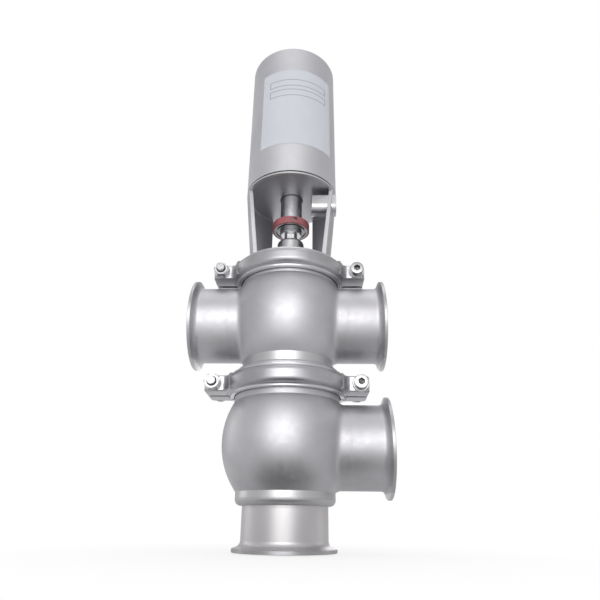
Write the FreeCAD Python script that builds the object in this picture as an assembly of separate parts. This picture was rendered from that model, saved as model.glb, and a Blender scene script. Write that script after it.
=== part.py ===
# Pneumatic divert seat valve for 3 inch sanitary tube, with two chambers, two plugs and a spring-return actuator.
# Millimetres. Z is the stem axis, the origin lies on it in the face of the bottom port, and -Y is the front.
import FreeCAD
import Part
import math
import os

V = FreeCAD.Vector
NEAR = 0.001

# Tube and clamp ferrule, 3 inch
TUBE_R = 38.1
TUBE_WALL = 1.65
FERRULE_FLANGE_STEP = 7.4
FERRULE_RIM = 2.85
FERRULE_FILLET = 5.0
FERRULE_EDGE = 0.4
GASKET_GROOVE_STEP = 3.75
GASKET_GROOVE_DEPTH = 1.5
FLANGE_TAPER = 20.0

# Ball chambers, whose radii stand out from the tube's by a step each
BALL_STEP = 21.5
BALL_BARREL = 11.4
HUB_STEP = 12.1
BODY_WALL = 3.0
COLLAR_SET_BACK = 3.6
PORT_REACH = 34.8
PORT_BLEND = 7.5
LOWER_PORT_DROP = 3.5
UPPER_PORT_DROP = 3.0
BAND_UNDER_TUBE = 5.4
BOTTOM_FERRULE_H = 36.5
BOTTOM_BAND_H = 6.0
BOTTOM_BAND_CORNER = 5.0
MIDDLE_BAND_H = 9.0
LOWER_TOP_OVER_TUBE = 9.9
MIDDLE_NECK_H = 12.5
UPPER_TOP_OVER_TUBE = 7.9
HUB_FILLET = 1.2
BAND_FILLET = 1.0

# Clamped flanges between and above the chambers
FLANGE_STEP = 5.3
FLANGE_RIM = 3.0
GASKET_T = 1.5
SEAT_RIM = 3.0
BONNET_RIM = 3.0
SPIGOT_GAP = 0.2
SEAT_SPIGOT_H = 5.5

# Seats and plugs
STROKE = 24.0
SEAT_CONE_H = 4.45
SEAT_GAP = 0.42
PLUG_OVERLAP = 3.55
PLUG_NOSE = 1.0
PLUG_RIM_H = 4.0
PLUG_H = 12.0
PLUG_HUB_STEP = 7.0
PLUG_SEAL_W = 3.0
PLUG_SEAL_DEPTH = 2.4
SPACER_WALL = 4.0

# Two-bolt clamps
CLAMP_THICKNESS = 4.5
CLAMP_HALF_H = 10.5
CLAMP_LIP_SET_BACK = 5.2
CLAMP_LIP_H = 2.3
CLAMP_LIP_EDGE = 0.6
CLAMP_BAND_HALF_H = 6.4
CLAMP_BAND_EDGE = 5.0
CLAMP_VALLEY = 1.9
CLAMP_HUB_GAP = 0.8
CLAMP_SPLIT = 4.4
CLAMP_GAP = 0.1
GROOVE_CLEARANCE = 0.8
LUG_INSIDE_BAND = 2.2
LUG_FACE_Y = 21.0
LUG_H = 15.0
LUG_CORNER = 4.0
LUG_EDGE = 1.5
LUG_BLEND = 5.0
LUG_PAST_BOLT = 8.3
BOLT_PAST_BAND = 9.0

# M8 clamp fasteners
M8_R = 4.0
M8_HOLE_R = 4.4
M8_HEAD_R = 6.5
M8_HEAD_H = 8.0
M8_HEX_SOCKET = 6.0
M8_SOCKET_DEPTH = 4.5
M8_LENGTH = 55.0
M8_NUT_AF = 13.0
M8_NUT_H = 6.5
M8_WASHER_R = 8.0
M8_WASHER_T = 1.6
EDGE_BREAK = 0.6

# Stem
STEM_R = 7.0
STEM_END_STEP = 1.0
STEM_NUT_AF = 18.0
STEM_NUT_H = 6.0
STEM_WASHER_R = 12.0
STEM_WASHER_T = 2.0
STEM_TIP = 3.0
STEM_IN_ROD = 26.0
STEM_FLATS_AF = 12.0
STEM_FLATS_H = 5.0
STEM_FLATS_GAP = 1.4
RUNNING_GAP = 0.05
SEAL_GAP = 0.3

# Bonnet
BONNET_PLATE_H = 4.5
BONNET_SPIGOT_H = 7.5
BONNET_RIM_W = 13.5
BONNET_BOSS_WALL = 6.4
BONNET_BOSS_FOOT = 6.0
BONNET_SHOULDER = 4.5
BONNET_BOSS_H = 45.1
STEM_HOLE_GAP = 1.0
STEM_SEAL_W = 4.0
STEM_SEAL_H = 4.0
STEM_BUSH_WALL = 2.0
STEM_BUSH_H = 36.0
STEM_WIPER_W = 1.7
STEM_WIPER_H = 3.0

# Yoke
YOKE_H = 100.8
YOKE_TAPER = 0.093
YOKE_WALL = 3.5
YOKE_PLATE_T = 2.0
YOKE_FOOT_FILLET = 2.5
YOKE_FRONT_Y = 21.0
YOKE_WINDOW_HALF = 24.0
YOKE_SPIGOT_STEP = 18.0
YOKE_SPIGOT_H = 4.0
ROD_HOLE_GAP = 1.0

# Sensor boss in the right-hand leg
SENSOR_HOLE_R = 5.5
SENSOR_BOSS_HALF = 10.0
SENSOR_BOSS_CORNER = 8.0
SENSOR_BOSS_EDGE = 1.5
SENSOR_BEHIND_FRONT = 11.0
SENSOR_DROP = 15.3
SENSOR_GAP = 2.0
SENSOR_BOSS_PROUD = 0.8

# Actuator
ACTUATOR_R = 50.8
ACTUATOR_H = 182.5
ACTUATOR_WALL = 2.0
BASE_LIP_SET_BACK = 1.2
BASE_LIP_T = 1.6
BASE_H = 20.7
COVER_GAP = 0.05
O_RING_D = 4.0
O_RING_DEPTH = 3.0
BASE_O_RING_UP = 5.5
BASE_SCREW_STEP = 10.0
M6_R = 3.0
M6_HOLE_R = 3.3
M6_HEAD_R = 5.0
M6_HEAD_H = 6.0
M6_HEX_SOCKET = 5.0
M6_SOCKET_DEPTH = 3.0
M6_COUNTERBORE_GAP = 0.4
M6_FLOOR = 1.0
ROD_BUSH_WALL = 2.5
ROD_BUSH_H = 11.0
ROD_SEAL_W = 5.0
ROD_SEAL_H = 4.0
AIR_PORT_UP = 15.0
AIR_PORT_HOLE_R = 4.3
AIR_PORT_WALL = 4.7
AIR_PORT_REACH = 8.0
AIR_PASSAGE_R = 2.5
AIR_PASSAGE_SET_BACK = 5.8

# Rod and piston
ROD_R = 12.0
ROD_OVER_BOSS = 9.0
ROD_CHAMFER = 1.5
ROD_TOP_STEP = 4.0
PISTON_REST_GAP = 2.0
PISTON_H = 16.0
PISTON_GAP = 0.4
PISTON_RING_H = 4.0
PISTON_RING_DEPTH = 3.0
PISTON_NUT_AF = 24.0
PISTON_NUT_H = 8.0
PISTON_WASHER_R = 15.0
PISTON_WASHER_T = 2.5
PISTON_THREAD_TIP = 2.0

# Return spring and upper cover
SPRING_SET_BACK = 12.8
SPRING_WIRE_R = 3.0
SPRING_TURNS = 6
SPRING_SEAT_T = 3.0
SPRING_SEAT_HALF_W = 7.0
SPRING_COLLAR_H = 5.0
CAP_H = 12.0
CAP_SET_BACK = 4.4
CAP_CHAMFER = 1.0
CAP_VENT_R = 3.0
CIRCLIP_T = 2.0
CIRCLIP_W = 5.0
CIRCLIP_DEPTH = 0.8
CIRCLIP_OPENING = 14.0

# Position indicator
DISC_STEP = 6.5
DISC_OVER_ROD_END = 4.9
DISC_H = 8.1
DISC_LAND = 3.0
DISC_RIM = 1.5
DISC_HOLLOW = 1.5
BAND_T = 1.9
BAND_SPLIT = 0.5
BAND_SPLIT_X = 2.6
BAND_NOTCH_W = 4.6
BAND_NOTCH_H = 3.4
BAND_NOTCH_DROP = 1.4


# Radii that follow from the values above
BORE_R = TUBE_R - TUBE_WALL
FERRULE_FLANGE_R = TUBE_R + FERRULE_FLANGE_STEP
GASKET_GROOVE_R = TUBE_R + GASKET_GROOVE_STEP
BALL_R = TUBE_R + BALL_STEP
BALL_ARC_R = BALL_R + BALL_BARREL
BAND_TOP_DROP = TUBE_R + BAND_UNDER_TUBE
BAND_R_OUT = math.sqrt(BALL_ARC_R**2 - BAND_TOP_DROP**2) - BALL_BARREL
COLLAR_END_X = BALL_R - COLLAR_SET_BACK
PORT_FACE_X = BALL_R + PORT_REACH
HUB_R = TUBE_R + HUB_STEP
NECK_R = HUB_R - BODY_WALL
SPIGOT_R = NECK_R - SPIGOT_GAP
FLANGE_R = HUB_R + FLANGE_STEP
CLAMP_R = FLANGE_R + CLAMP_THICKNESS
CLAMP_LIP_R = CLAMP_R - CLAMP_LIP_SET_BACK
CLAMP_BORE_R = HUB_R + CLAMP_HUB_GAP
CLAMP_BOLT_X = CLAMP_R + BOLT_PAST_BAND
LUG_END_X = CLAMP_BOLT_X + LUG_PAST_BOLT
STEM_END_R = STEM_R - STEM_END_STEP
SPACER_R = STEM_END_R + SPACER_WALL
PLUG_R = BORE_R + PLUG_OVERLAP
PLUG_HUB_R = STEM_R + PLUG_HUB_STEP
BONNET_RECESS_R = FLANGE_R - BONNET_RIM_W
STEM_HOLE_R = STEM_R + STEM_HOLE_GAP
STEM_BUSH_R = STEM_R + STEM_BUSH_WALL
STEM_SEAL_R = STEM_R + STEM_SEAL_W
STEM_WIPER_R = STEM_R + STEM_WIPER_W
BONNET_BOSS_R = STEM_HOLE_R + BONNET_BOSS_WALL
ROD_HOLE_R = ROD_R + ROD_HOLE_GAP
ROD_BUSH_R = ROD_R + ROD_BUSH_WALL
ROD_SEAL_R = ROD_R + ROD_SEAL_W
ROD_TOP_R = ROD_R - ROD_TOP_STEP
BASE_SCREW_CIRCLE_R = ROD_R + BASE_SCREW_STEP
YOKE_SPIGOT_R = ROD_R + YOKE_SPIGOT_STEP
YOKE_R = ACTUATOR_R
BASE_LIP_R = ACTUATOR_R - BASE_LIP_SET_BACK
ACTUATOR_BORE_R = ACTUATOR_R - ACTUATOR_WALL
COVER_R = ACTUATOR_BORE_R - COVER_GAP
AIR_PORT_FACE_Y = ACTUATOR_R + AIR_PORT_REACH
AIR_PORT_R = AIR_PORT_HOLE_R + AIR_PORT_WALL
AIR_PASSAGE_Y = ACTUATOR_BORE_R - AIR_PASSAGE_SET_BACK
PISTON_R = ACTUATOR_BORE_R - PISTON_GAP
SPRING_R = ACTUATOR_BORE_R - SPRING_SET_BACK
DISC_R = ROD_R + DISC_STEP
BAND_R = DISC_R + BAND_T

# Heights that follow, from the bottom port upwards
TAPER_RISE = math.tan(math.radians(FLANGE_TAPER))
STACK_H = 2 * FLANGE_RIM + 2 * GASKET_T + SEAT_RIM
YOKE_RIM = STACK_H - FLANGE_RIM - GASKET_T - BONNET_RIM
LOWER_BODY_FOOT = BOTTOM_FERRULE_H
BOTTOM_SEAT_Z = LOWER_BODY_FOOT + BOTTOM_BAND_CORNER
BOTTOM_BAND_TOP = BOTTOM_SEAT_Z + BOTTOM_BAND_H
LOWER_BALL_Z = BOTTOM_BAND_TOP + BAND_TOP_DROP
LOWER_PORT_Z = LOWER_BALL_Z - LOWER_PORT_DROP
LOWER_BODY_TOP = LOWER_BALL_Z + TUBE_R + LOWER_TOP_OVER_TUBE
SEAT_RIM_Z = LOWER_BODY_TOP + GASKET_T
LOWER_CLAMP_Z = SEAT_RIM_Z + SEAT_RIM / 2
UPPER_BODY_FOOT = SEAT_RIM_Z + SEAT_RIM + GASKET_T
MIDDLE_BAND_Z = UPPER_BODY_FOOT + MIDDLE_NECK_H
UPPER_BALL_Z = MIDDLE_BAND_Z + MIDDLE_BAND_H + BAND_TOP_DROP
UPPER_PORT_Z = UPPER_BALL_Z - UPPER_PORT_DROP
UPPER_BODY_TOP = UPPER_BALL_Z + TUBE_R + UPPER_TOP_OVER_TUBE
BONNET_RIM_Z = UPPER_BODY_TOP + GASKET_T
UPPER_CLAMP_Z = UPPER_BODY_TOP + STACK_H / 2 - FLANGE_RIM
YOKE_FOOT_Z = BONNET_RIM_Z + BONNET_RIM
BONNET_TOP_Z = YOKE_FOOT_Z + BONNET_BOSS_H
YOKE_PLATE_Z = YOKE_FOOT_Z + YOKE_H
SENSOR_Z = YOKE_PLATE_Z - SENSOR_DROP
YOKE_TOP_Z = YOKE_PLATE_Z + YOKE_PLATE_T
BASE_TOP_Z = YOKE_TOP_Z + BASE_H
TUBE_TOP_Z = YOKE_TOP_Z + BASE_LIP_T + ACTUATOR_H
CAP_TOP_Z = TUBE_TOP_Z - CAP_SET_BACK
CAP_Z = CAP_TOP_Z - CAP_H
SPRING_SEAT_Z = CAP_Z - SPRING_SEAT_T
PISTON_Z = BASE_TOP_Z + PISTON_REST_GAP
PISTON_TOP_Z = PISTON_Z + PISTON_H
ROD_END_Z = BONNET_TOP_Z + ROD_OVER_BOSS
DISC_Z = ROD_END_Z + DISC_OVER_ROD_END
MID_SEAT_FOOT = SEAT_RIM_Z - SEAT_SPIGOT_H - GASKET_T
MID_SEAT_Z = MID_SEAT_FOOT + SEAT_CONE_H
LOWER_PLUG_FOOT = BOTTOM_SEAT_Z + SEAT_GAP - PLUG_NOSE
LOWER_PLUG_TOP = LOWER_PLUG_FOOT + PLUG_H
UPPER_PLUG_TOP = MID_SEAT_Z - SEAT_GAP + PLUG_NOSE - STROKE
UPPER_PLUG_FOOT = UPPER_PLUG_TOP - PLUG_H


def rounded_corner(before, corner, after, radius):
    """First, middle and last point of the arc that rounds a corner between two straight edges."""
    inward = V(before[0] - corner[0], before[1] - corner[1], 0).normalize()
    onward = V(after[0] - corner[0], after[1] - corner[1], 0).normalize()
    half = inward.getAngle(onward) / 2
    tip = V(corner[0], corner[1], 0)
    reach = radius / math.tan(half)
    bisector = (inward + onward).normalize()
    middle = tip + bisector * (radius / math.sin(half) - radius)
    return tip + inward * reach, middle, tip + onward * reach


def outline_edges(corners, place):
    """Closed loop of edges through corners (a, b), (a, b, rounding) or bowed by an entry ("bow", a, b)."""
    steps = [c for c in corners if c[0] != "bow"]
    bows = {}
    for index, corner in enumerate(corners):
        if corner[0] == "bow":
            bows[steps.index(corners[index - 1])] = corner[1:]
    edges = []
    starts = []
    ends = []
    for index, corner in enumerate(steps):
        first = V(corner[0], corner[1], 0)
        last = first
        if len(corner) == 3:
            after = steps[(index + 1) % len(steps)]
            first, middle, last = rounded_corner(steps[index - 1], corner, after, corner[2])
            edges.append(Part.Arc(place(first), place(middle), place(last)).toShape())
        starts.append(first)
        ends.append(last)
    for index in range(len(steps)):
        first = place(ends[index])
        last = place(starts[(index + 1) % len(steps)])
        if index in bows:
            middle = place(V(bows[index][0], bows[index][1], 0))
            edges.append(Part.Arc(first, middle, last).toShape())
        elif first.distanceToPoint(last) > NEAR:
            edges.append(Part.LineSegment(first, last).toShape())
    return Part.Face(Part.Wire(Part.sortEdges(edges)[0]))


def turned(corners):
    """Solid of revolution about Z from an outline in (radius, height), with its seam at the back."""
    face = outline_edges(corners, lambda p: V(0, p.x, p.y))
    return face.revolve(V(0, 0, 0), V(0, 0, 1), 360)


def plate(corners, low, high):
    """Solid between two heights from an outline in (x, y)."""
    return outline_edges(corners, lambda p: V(p.x, p.y, low)).extrude(V(0, 0, high - low))


def rod(radius, low, high):
    """Upright cylinder on the stem axis."""
    return Part.makeCylinder(radius, high - low, V(0, 0, low))


def ring(outer, inner, low, high):
    """Upright ring on the stem axis."""
    return rod(outer, low, high).cut(rod(inner, low, high))


def bar(radius, start, end):
    """Cylinder between two points."""
    return Part.makeCylinder(radius, (end - start).Length, start, end - start)


def block(low, high):
    """Box between two corners."""
    return Part.makeBox(high[0] - low[0], high[1] - low[1], high[2] - low[2], V(*low))


def hexagon(across_flats, low, high):
    """Upright hexagonal prism on the stem axis, with a flat towards the front."""
    corner_r = across_flats / math.sqrt(3)
    turns = [math.radians(60 * k) for k in range(6)]
    return plate([(corner_r * math.cos(t), corner_r * math.sin(t)) for t in turns], low, high)


def nut(across_flats, hole_r, low, high):
    """Hexagon nut whose corners are chamfered at both faces."""
    crown_r = across_flats / math.sqrt(3)
    fall = (crown_r - across_flats / 2) * math.tan(math.radians(30))
    crown = turned([(0, low), (across_flats / 2, low), (crown_r, low + fall), (crown_r, high - fall),
                    (across_flats / 2, high), (0, high)])
    return hexagon(across_flats, low, high).common(crown).cut(rod(hole_r, low, high))


def washer(outer, hole_r, low, high):
    """Flat washer with its upper edge chamfered."""
    return turned([
        (hole_r, low), (outer, low), (outer, high - EDGE_BREAK), (outer - EDGE_BREAK, high), (hole_r, high),
    ])


def stem_axis_to(direction, origin, solid):
    """Turns a solid from the Z axis on to another direction and moves its origin."""
    copy = solid.copy()
    copy.Placement = FreeCAD.Placement(origin, FreeCAD.Rotation(V(0, 0, 1), direction))
    return copy


# Ferrules and chambers

def ferrule(length):
    """Tube end on Z with its face at height 0: taper-backed flange, gasket groove and concave neck."""
    neck_z = FERRULE_RIM + (FERRULE_FLANGE_R - TUBE_R) * TAPER_RISE
    return turned([
        (BORE_R, 0), (GASKET_GROOVE_R - GASKET_GROOVE_DEPTH, 0), ("bow", GASKET_GROOVE_R, GASKET_GROOVE_DEPTH),
        (GASKET_GROOVE_R + GASKET_GROOVE_DEPTH, 0), (FERRULE_FLANGE_R, 0, FERRULE_EDGE),
        (FERRULE_FLANGE_R, FERRULE_RIM, FERRULE_EDGE), (TUBE_R, neck_z, FERRULE_FILLET), (TUBE_R, length),
        (BORE_R, length),
    ])


def ball_radius(from_centre, inset):
    """Radius of the chamber's wall at a height from the middle of its ball."""
    return BALL_R - BALL_ARC_R + math.sqrt((BALL_ARC_R - inset)**2 - from_centre**2)


def ball_height(radius, inset):
    """Height above the middle of the ball at which its wall has a radius."""
    return math.sqrt((BALL_ARC_R - inset)**2 - (radius - BALL_R + BALL_ARC_R)**2)


def ball(centre_z, down, up, inset):
    """Barrel-shaped solid of revolution between two heights below and above its middle."""
    return turned([
        (0, centre_z - down), (ball_radius(down, inset), centre_z - down),
        ("bow", BALL_R - inset, centre_z), (ball_radius(up, inset), centre_z + up), (0, centre_z + up),
    ])


def chamber_outside(centre_z, port_z, left_x, right_x, foot_z):
    """Ball with its side collars, blended where they meet, above a height."""
    overrun = BAND_TOP_DROP + 2 * PORT_BLEND
    hub_rise = ball_height(HUB_R, 0)
    shape = ball(centre_z, overrun, hub_rise, 0)
    shape = shape.fuse(bar(TUBE_R, V(left_x, 0, port_z), V(right_x, 0, port_z))).removeSplitter()
    seams = [e for e in shape.Edges if isinstance(e.Curve, Part.BSplineCurve)]
    shape = shape.makeFillet(PORT_BLEND, seams)
    reach = 2 * PORT_FACE_X
    return shape.common(block((-reach, -reach, foot_z), (reach, reach, centre_z + hub_rise)))


def top_flange(hub_z, face_z):
    """Neck ring and taper-backed flange that faces up."""
    taper_z = face_z - FLANGE_RIM - (FLANGE_R - HUB_R) * TAPER_RISE
    return turned([
        (0, hub_z), (HUB_R, hub_z), (HUB_R, taper_z, HUB_FILLET), (FLANGE_R, face_z - FLANGE_RIM),
        (FLANGE_R, face_z), (0, face_z),
    ])


def lower_body():
    """Lower chamber with a bottom neck that holds the lower seat, one side collar and a top flange."""
    hub_z = LOWER_BALL_Z + ball_height(HUB_R, 0)
    band_r = BAND_R_OUT
    shape = chamber_outside(LOWER_BALL_Z, LOWER_PORT_Z, 0, COLLAR_END_X, BOTTOM_SEAT_Z)
    shape = shape.fuse(turned([
        (0, LOWER_BODY_FOOT), (band_r, LOWER_BODY_FOOT, BOTTOM_BAND_CORNER), (band_r, BOTTOM_BAND_TOP),
        (0, BOTTOM_BAND_TOP),
    ]))
    shape = shape.fuse(top_flange(hub_z, LOWER_BODY_TOP))
    seat_r = BORE_R + SEAT_CONE_H
    neck_rise = ball_height(NECK_R, BODY_WALL)
    inside = turned([
        (0, LOWER_BODY_FOOT), (BORE_R, LOWER_BODY_FOOT), (BORE_R, BOTTOM_SEAT_Z),
        (seat_r, BOTTOM_SEAT_Z + SEAT_CONE_H), (ball_radius(BAND_TOP_DROP, BODY_WALL), BOTTOM_BAND_TOP),
        ("bow", BALL_R - BODY_WALL, LOWER_BALL_Z), (NECK_R, LOWER_BALL_Z + neck_rise),
        (NECK_R, LOWER_BODY_TOP), (0, LOWER_BODY_TOP),
    ])
    shape = shape.cut(inside)
    return shape.cut(bar(BORE_R, V(0, 0, LOWER_PORT_Z), V(PORT_FACE_X, 0, LOWER_PORT_Z)))


def upper_body():
    """Upper chamber with two side collars and a flange at each end."""
    hub_z = UPPER_BALL_Z + ball_height(HUB_R, 0)
    band_r = BAND_R_OUT
    band_foot = MIDDLE_BAND_Z
    band_top = band_foot + MIDDLE_BAND_H
    taper_z = UPPER_BODY_FOOT + FLANGE_RIM + (FLANGE_R - HUB_R) * TAPER_RISE
    shape = chamber_outside(UPPER_BALL_Z, UPPER_PORT_Z, -COLLAR_END_X, COLLAR_END_X, band_foot)
    shape = shape.fuse(turned([
        (0, UPPER_BODY_FOOT), (FLANGE_R, UPPER_BODY_FOOT), (FLANGE_R, UPPER_BODY_FOOT + FLANGE_RIM),
        (HUB_R, taper_z, HUB_FILLET), (HUB_R, band_foot, BODY_WALL), (band_r, band_foot, BAND_FILLET),
        (band_r, band_top), (0, band_top),
    ]))
    shape = shape.fuse(top_flange(hub_z, UPPER_BODY_TOP))
    neck_bore = ball_radius(BAND_TOP_DROP, BODY_WALL)
    flare_z = band_foot - (NECK_R - neck_bore)
    neck_rise = ball_height(NECK_R, BODY_WALL)
    inside = turned([
        (0, UPPER_BODY_FOOT), (NECK_R, UPPER_BODY_FOOT), (NECK_R, flare_z), (neck_bore, band_foot),
        (neck_bore, band_top), ("bow", BALL_R - BODY_WALL, UPPER_BALL_Z),
        (NECK_R, UPPER_BALL_Z + neck_rise), (NECK_R, UPPER_BODY_TOP), (0, UPPER_BODY_TOP),
    ])
    shape = shape.cut(inside)
    return shape.cut(bar(BORE_R, V(-PORT_FACE_X, 0, UPPER_PORT_Z), V(PORT_FACE_X, 0, UPPER_PORT_Z)))


def side_ferrule(side, port_z):
    """Ferrule welded to a side collar, with its face at the port face distance."""
    return stem_axis_to(V(-side, 0, 0), V(side * PORT_FACE_X, 0, port_z), ferrule(PORT_FACE_X - COLLAR_END_X))


def mid_seat_ring():
    """Seat between the chambers, held by its rim in the lower clamp."""
    top = SEAT_RIM_Z + SEAT_RIM
    spigot_top = top + GASKET_T + SEAT_SPIGOT_H
    return turned([
        (BORE_R, MID_SEAT_Z), (BORE_R + SEAT_CONE_H, MID_SEAT_FOOT), (SPIGOT_R, MID_SEAT_FOOT),
        (SPIGOT_R, SEAT_RIM_Z), (FLANGE_R, SEAT_RIM_Z), (FLANGE_R, top), (SPIGOT_R, top),
        (SPIGOT_R, spigot_top), (BORE_R + SEAT_CONE_H, spigot_top), (BORE_R, spigot_top - SEAT_CONE_H),
    ])


# Two-bolt clamp, one casting used twice

def clamp_ring():
    """Full clamp ring about height 0, with its tapered inner groove and raised outer band."""
    lip_z = CLAMP_HALF_H - CLAMP_LIP_H
    groove_r = FLANGE_R + GROOVE_CLEARANCE
    half = STACK_H / 2 + CLAMP_GAP
    groove_z = half - GROOVE_CLEARANCE * TAPER_RISE
    bore_z = half + (FLANGE_R - CLAMP_BORE_R) * TAPER_RISE
    above = [
        (CLAMP_R, CLAMP_BAND_HALF_H, CLAMP_BAND_EDGE), (CLAMP_LIP_R, lip_z, CLAMP_VALLEY),
        (CLAMP_LIP_R, CLAMP_HALF_H, CLAMP_LIP_EDGE), (CLAMP_BORE_R, CLAMP_HALF_H), (CLAMP_BORE_R, bore_z),
        (groove_r, groove_z),
    ]
    below = [(c[0], -c[1]) + tuple(c[2:]) for c in reversed(above)]
    return turned(above + below)


def clamp_lug():
    """Right-hand lug of the front half about height 0, blended into the ring."""
    face_x = math.sqrt(CLAMP_R**2 - LUG_FACE_Y**2)
    inner_r = CLAMP_R - LUG_INSIDE_BAND
    along = 2 * LUG_BLEND
    shape = plate([
        (inner_r - LUG_BLEND, -CLAMP_SPLIT / 2), (LUG_END_X, -CLAMP_SPLIT / 2),
        (LUG_END_X, -LUG_FACE_Y, LUG_CORNER), (face_x, -LUG_FACE_Y, LUG_BLEND),
        (face_x - along * LUG_FACE_Y / CLAMP_R, -LUG_FACE_Y - along * face_x / CLAMP_R),
        (inner_r - LUG_BLEND - along, -LUG_FACE_Y - along * face_x / CLAMP_R),
    ], -LUG_H / 2, LUG_H / 2)
    shape = shape.cut(rod(inner_r, -LUG_H, LUG_H))
    rims = [e for e in shape.Edges if is_lug_rim(e, face_x)]
    return shape.makeFillet(LUG_EDGE, rims)


def is_lug_rim(edge, face_x):
    """True for the top and bottom edges round the outside of a lug, clear of the ring and the split."""
    middle = edge.valueAt((edge.FirstParameter + edge.LastParameter) / 2)
    outside = middle.x > face_x and math.hypot(middle.x, middle.y) > CLAMP_R
    return edge.BoundBox.ZLength < NEAR and outside and middle.y < -CLAMP_SPLIT / 2 - NEAR


def clamp_half(height, rear):
    """Half ring with a drilled lug at each end."""
    reach = 2 * CLAMP_R
    half = clamp_ring().common(block((-reach, -reach, -CLAMP_HALF_H), (reach, -CLAMP_SPLIT / 2, CLAMP_HALF_H)))
    lug = clamp_lug()
    half = half.fuse([lug, lug.mirror(V(0, 0, 0), V(1, 0, 0))]).removeSplitter()
    for x in (-CLAMP_BOLT_X, CLAMP_BOLT_X):
        half = half.cut(bar(M8_HOLE_R, V(x, -reach, 0), V(x, 0, 0)))
    if rear:
        half = half.mirror(V(0, 0, 0), V(0, 1, 0))
    half.translate(V(0, 0, height))
    return half


def socket_screw(radius, head_r, head_h, socket_af, socket_depth, length):
    """Socket head cap screw along Z, head below height 0 and shank above it."""
    screw = turned([
        (0, -head_h), (head_r - EDGE_BREAK, -head_h), (head_r, EDGE_BREAK - head_h), (head_r, 0), (radius, 0),
        (radius, length - EDGE_BREAK), (radius - EDGE_BREAK, length), (0, length),
    ])
    return screw.cut(hexagon(socket_af, -head_h, socket_depth - head_h))


def across_lugs(height, sides, from_face, solid):
    """Sets a fastener on the bolt axes: on the front lug face at the listed sides, on the rear face at the others."""
    placed = []
    for side in (1, -1):
        front = side in sides
        facing = V(0, 1, 0) if front else V(0, -1, 0)
        face_y = -LUG_FACE_Y if front else LUG_FACE_Y
        start = V(side * CLAMP_BOLT_X, face_y, height) - facing * from_face
        placed.append(stem_axis_to(facing, start, solid))
    return placed


def clamp_bolts(height):
    """Right-hand screw from the front, left-hand screw from the rear."""
    screw = socket_screw(M8_R, M8_HEAD_R, M8_HEAD_H, M8_HEX_SOCKET, M8_SOCKET_DEPTH, M8_LENGTH)
    return Part.makeCompound(across_lugs(height, (1,), M8_WASHER_T, screw))


def clamp_nuts(height):
    """Nuts on the lug faces opposite the screw heads."""
    body = nut(M8_NUT_AF, M8_R, -M8_NUT_H, 0)
    return Part.makeCompound(across_lugs(height, (-1,), M8_WASHER_T, body))


def clamp_washers(height):
    """A washer under each head and under each nut."""
    body = washer(M8_WASHER_R, M8_HOLE_R, -M8_WASHER_T, 0)
    body = body.mirror(V(0, 0, -M8_WASHER_T / 2), V(0, 0, 1))
    return Part.makeCompound(across_lugs(height, (1,), 0, body) + across_lugs(height, (-1,), 0, body))


# Bonnet with the stem's bearing and seals

def bonnet():
    """Cover of the upper chamber: spigot, rim and a tall boss round the stem."""
    foot = BONNET_RIM_Z - BONNET_SPIGOT_H
    floor = foot + BONNET_PLATE_H
    shape = turned([
        (STEM_HOLE_R, foot), (SPIGOT_R, foot), (SPIGOT_R, BONNET_RIM_Z), (FLANGE_R, BONNET_RIM_Z),
        (FLANGE_R, YOKE_FOOT_Z), (BONNET_RECESS_R, YOKE_FOOT_Z), (BONNET_RECESS_R, floor, BAND_FILLET),
        (BONNET_BOSS_R, floor, BONNET_BOSS_FOOT), (BONNET_BOSS_R, BONNET_TOP_Z, BONNET_SHOULDER),
        (STEM_HOLE_R, BONNET_TOP_Z),
    ])
    shape = shape.cut(rod(STEM_SEAL_R, foot, foot + STEM_SEAL_H))
    shape = shape.cut(rod(STEM_BUSH_R, BONNET_TOP_Z - STEM_WIPER_H - STEM_BUSH_H, BONNET_TOP_Z - STEM_WIPER_H))
    return shape.cut(rod(STEM_WIPER_R, BONNET_TOP_Z - STEM_WIPER_H, BONNET_TOP_Z))


def stem_bush():
    top = BONNET_TOP_Z - STEM_WIPER_H
    return ring(STEM_BUSH_R, STEM_R + RUNNING_GAP, top - STEM_BUSH_H, top)


def stem_seal():
    foot = BONNET_RIM_Z - BONNET_SPIGOT_H
    return ring(STEM_SEAL_R, STEM_R + SEAL_GAP, foot, foot + STEM_SEAL_H)


def stem_wiper():
    return ring(STEM_WIPER_R, STEM_R + SEAL_GAP, BONNET_TOP_Z - STEM_WIPER_H, BONNET_TOP_Z)


# Stem, plugs and their fasteners

def plug_blank():
    """Plug with its cone towards -Z and its nose at height 0."""
    cone_foot_r = BORE_R - PLUG_NOSE
    cone_h = PLUG_R - cone_foot_r
    return turned([
        (STEM_END_R, 0), (cone_foot_r, 0), (PLUG_R, cone_h), (PLUG_R, cone_h + PLUG_RIM_H, EDGE_BREAK),
        (PLUG_HUB_R, PLUG_H, EDGE_BREAK), (STEM_END_R, PLUG_H),
    ])


def plug_seal_blank():
    """Sealing ring let into the middle of the plug's cone."""
    cone_foot_r = BORE_R - PLUG_NOSE
    slope = math.sqrt(0.5)
    middle_r = (cone_foot_r + PLUG_R) / 2
    middle_z = middle_r - cone_foot_r
    along = slope * PLUG_SEAL_W / 2
    deep = slope * PLUG_SEAL_DEPTH
    return turned([
        (middle_r - along, middle_z - along), (middle_r + along, middle_z + along),
        (middle_r + along - deep, middle_z + along + deep), (middle_r - along - deep, middle_z - along + deep),
    ])


def as_plug(solid, foot, facing_up):
    """Sets a plug piece at a height, with its cone down or up."""
    if facing_up:
        solid = solid.mirror(V(0, 0, PLUG_H / 2), V(0, 0, 1))
    solid.translate(V(0, 0, foot))
    return solid


def plug(foot, facing_up):
    return as_plug(plug_blank().cut(plug_seal_blank()), foot, facing_up)


def plug_seal(foot, facing_up):
    return as_plug(plug_seal_blank(), foot, facing_up)


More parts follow.
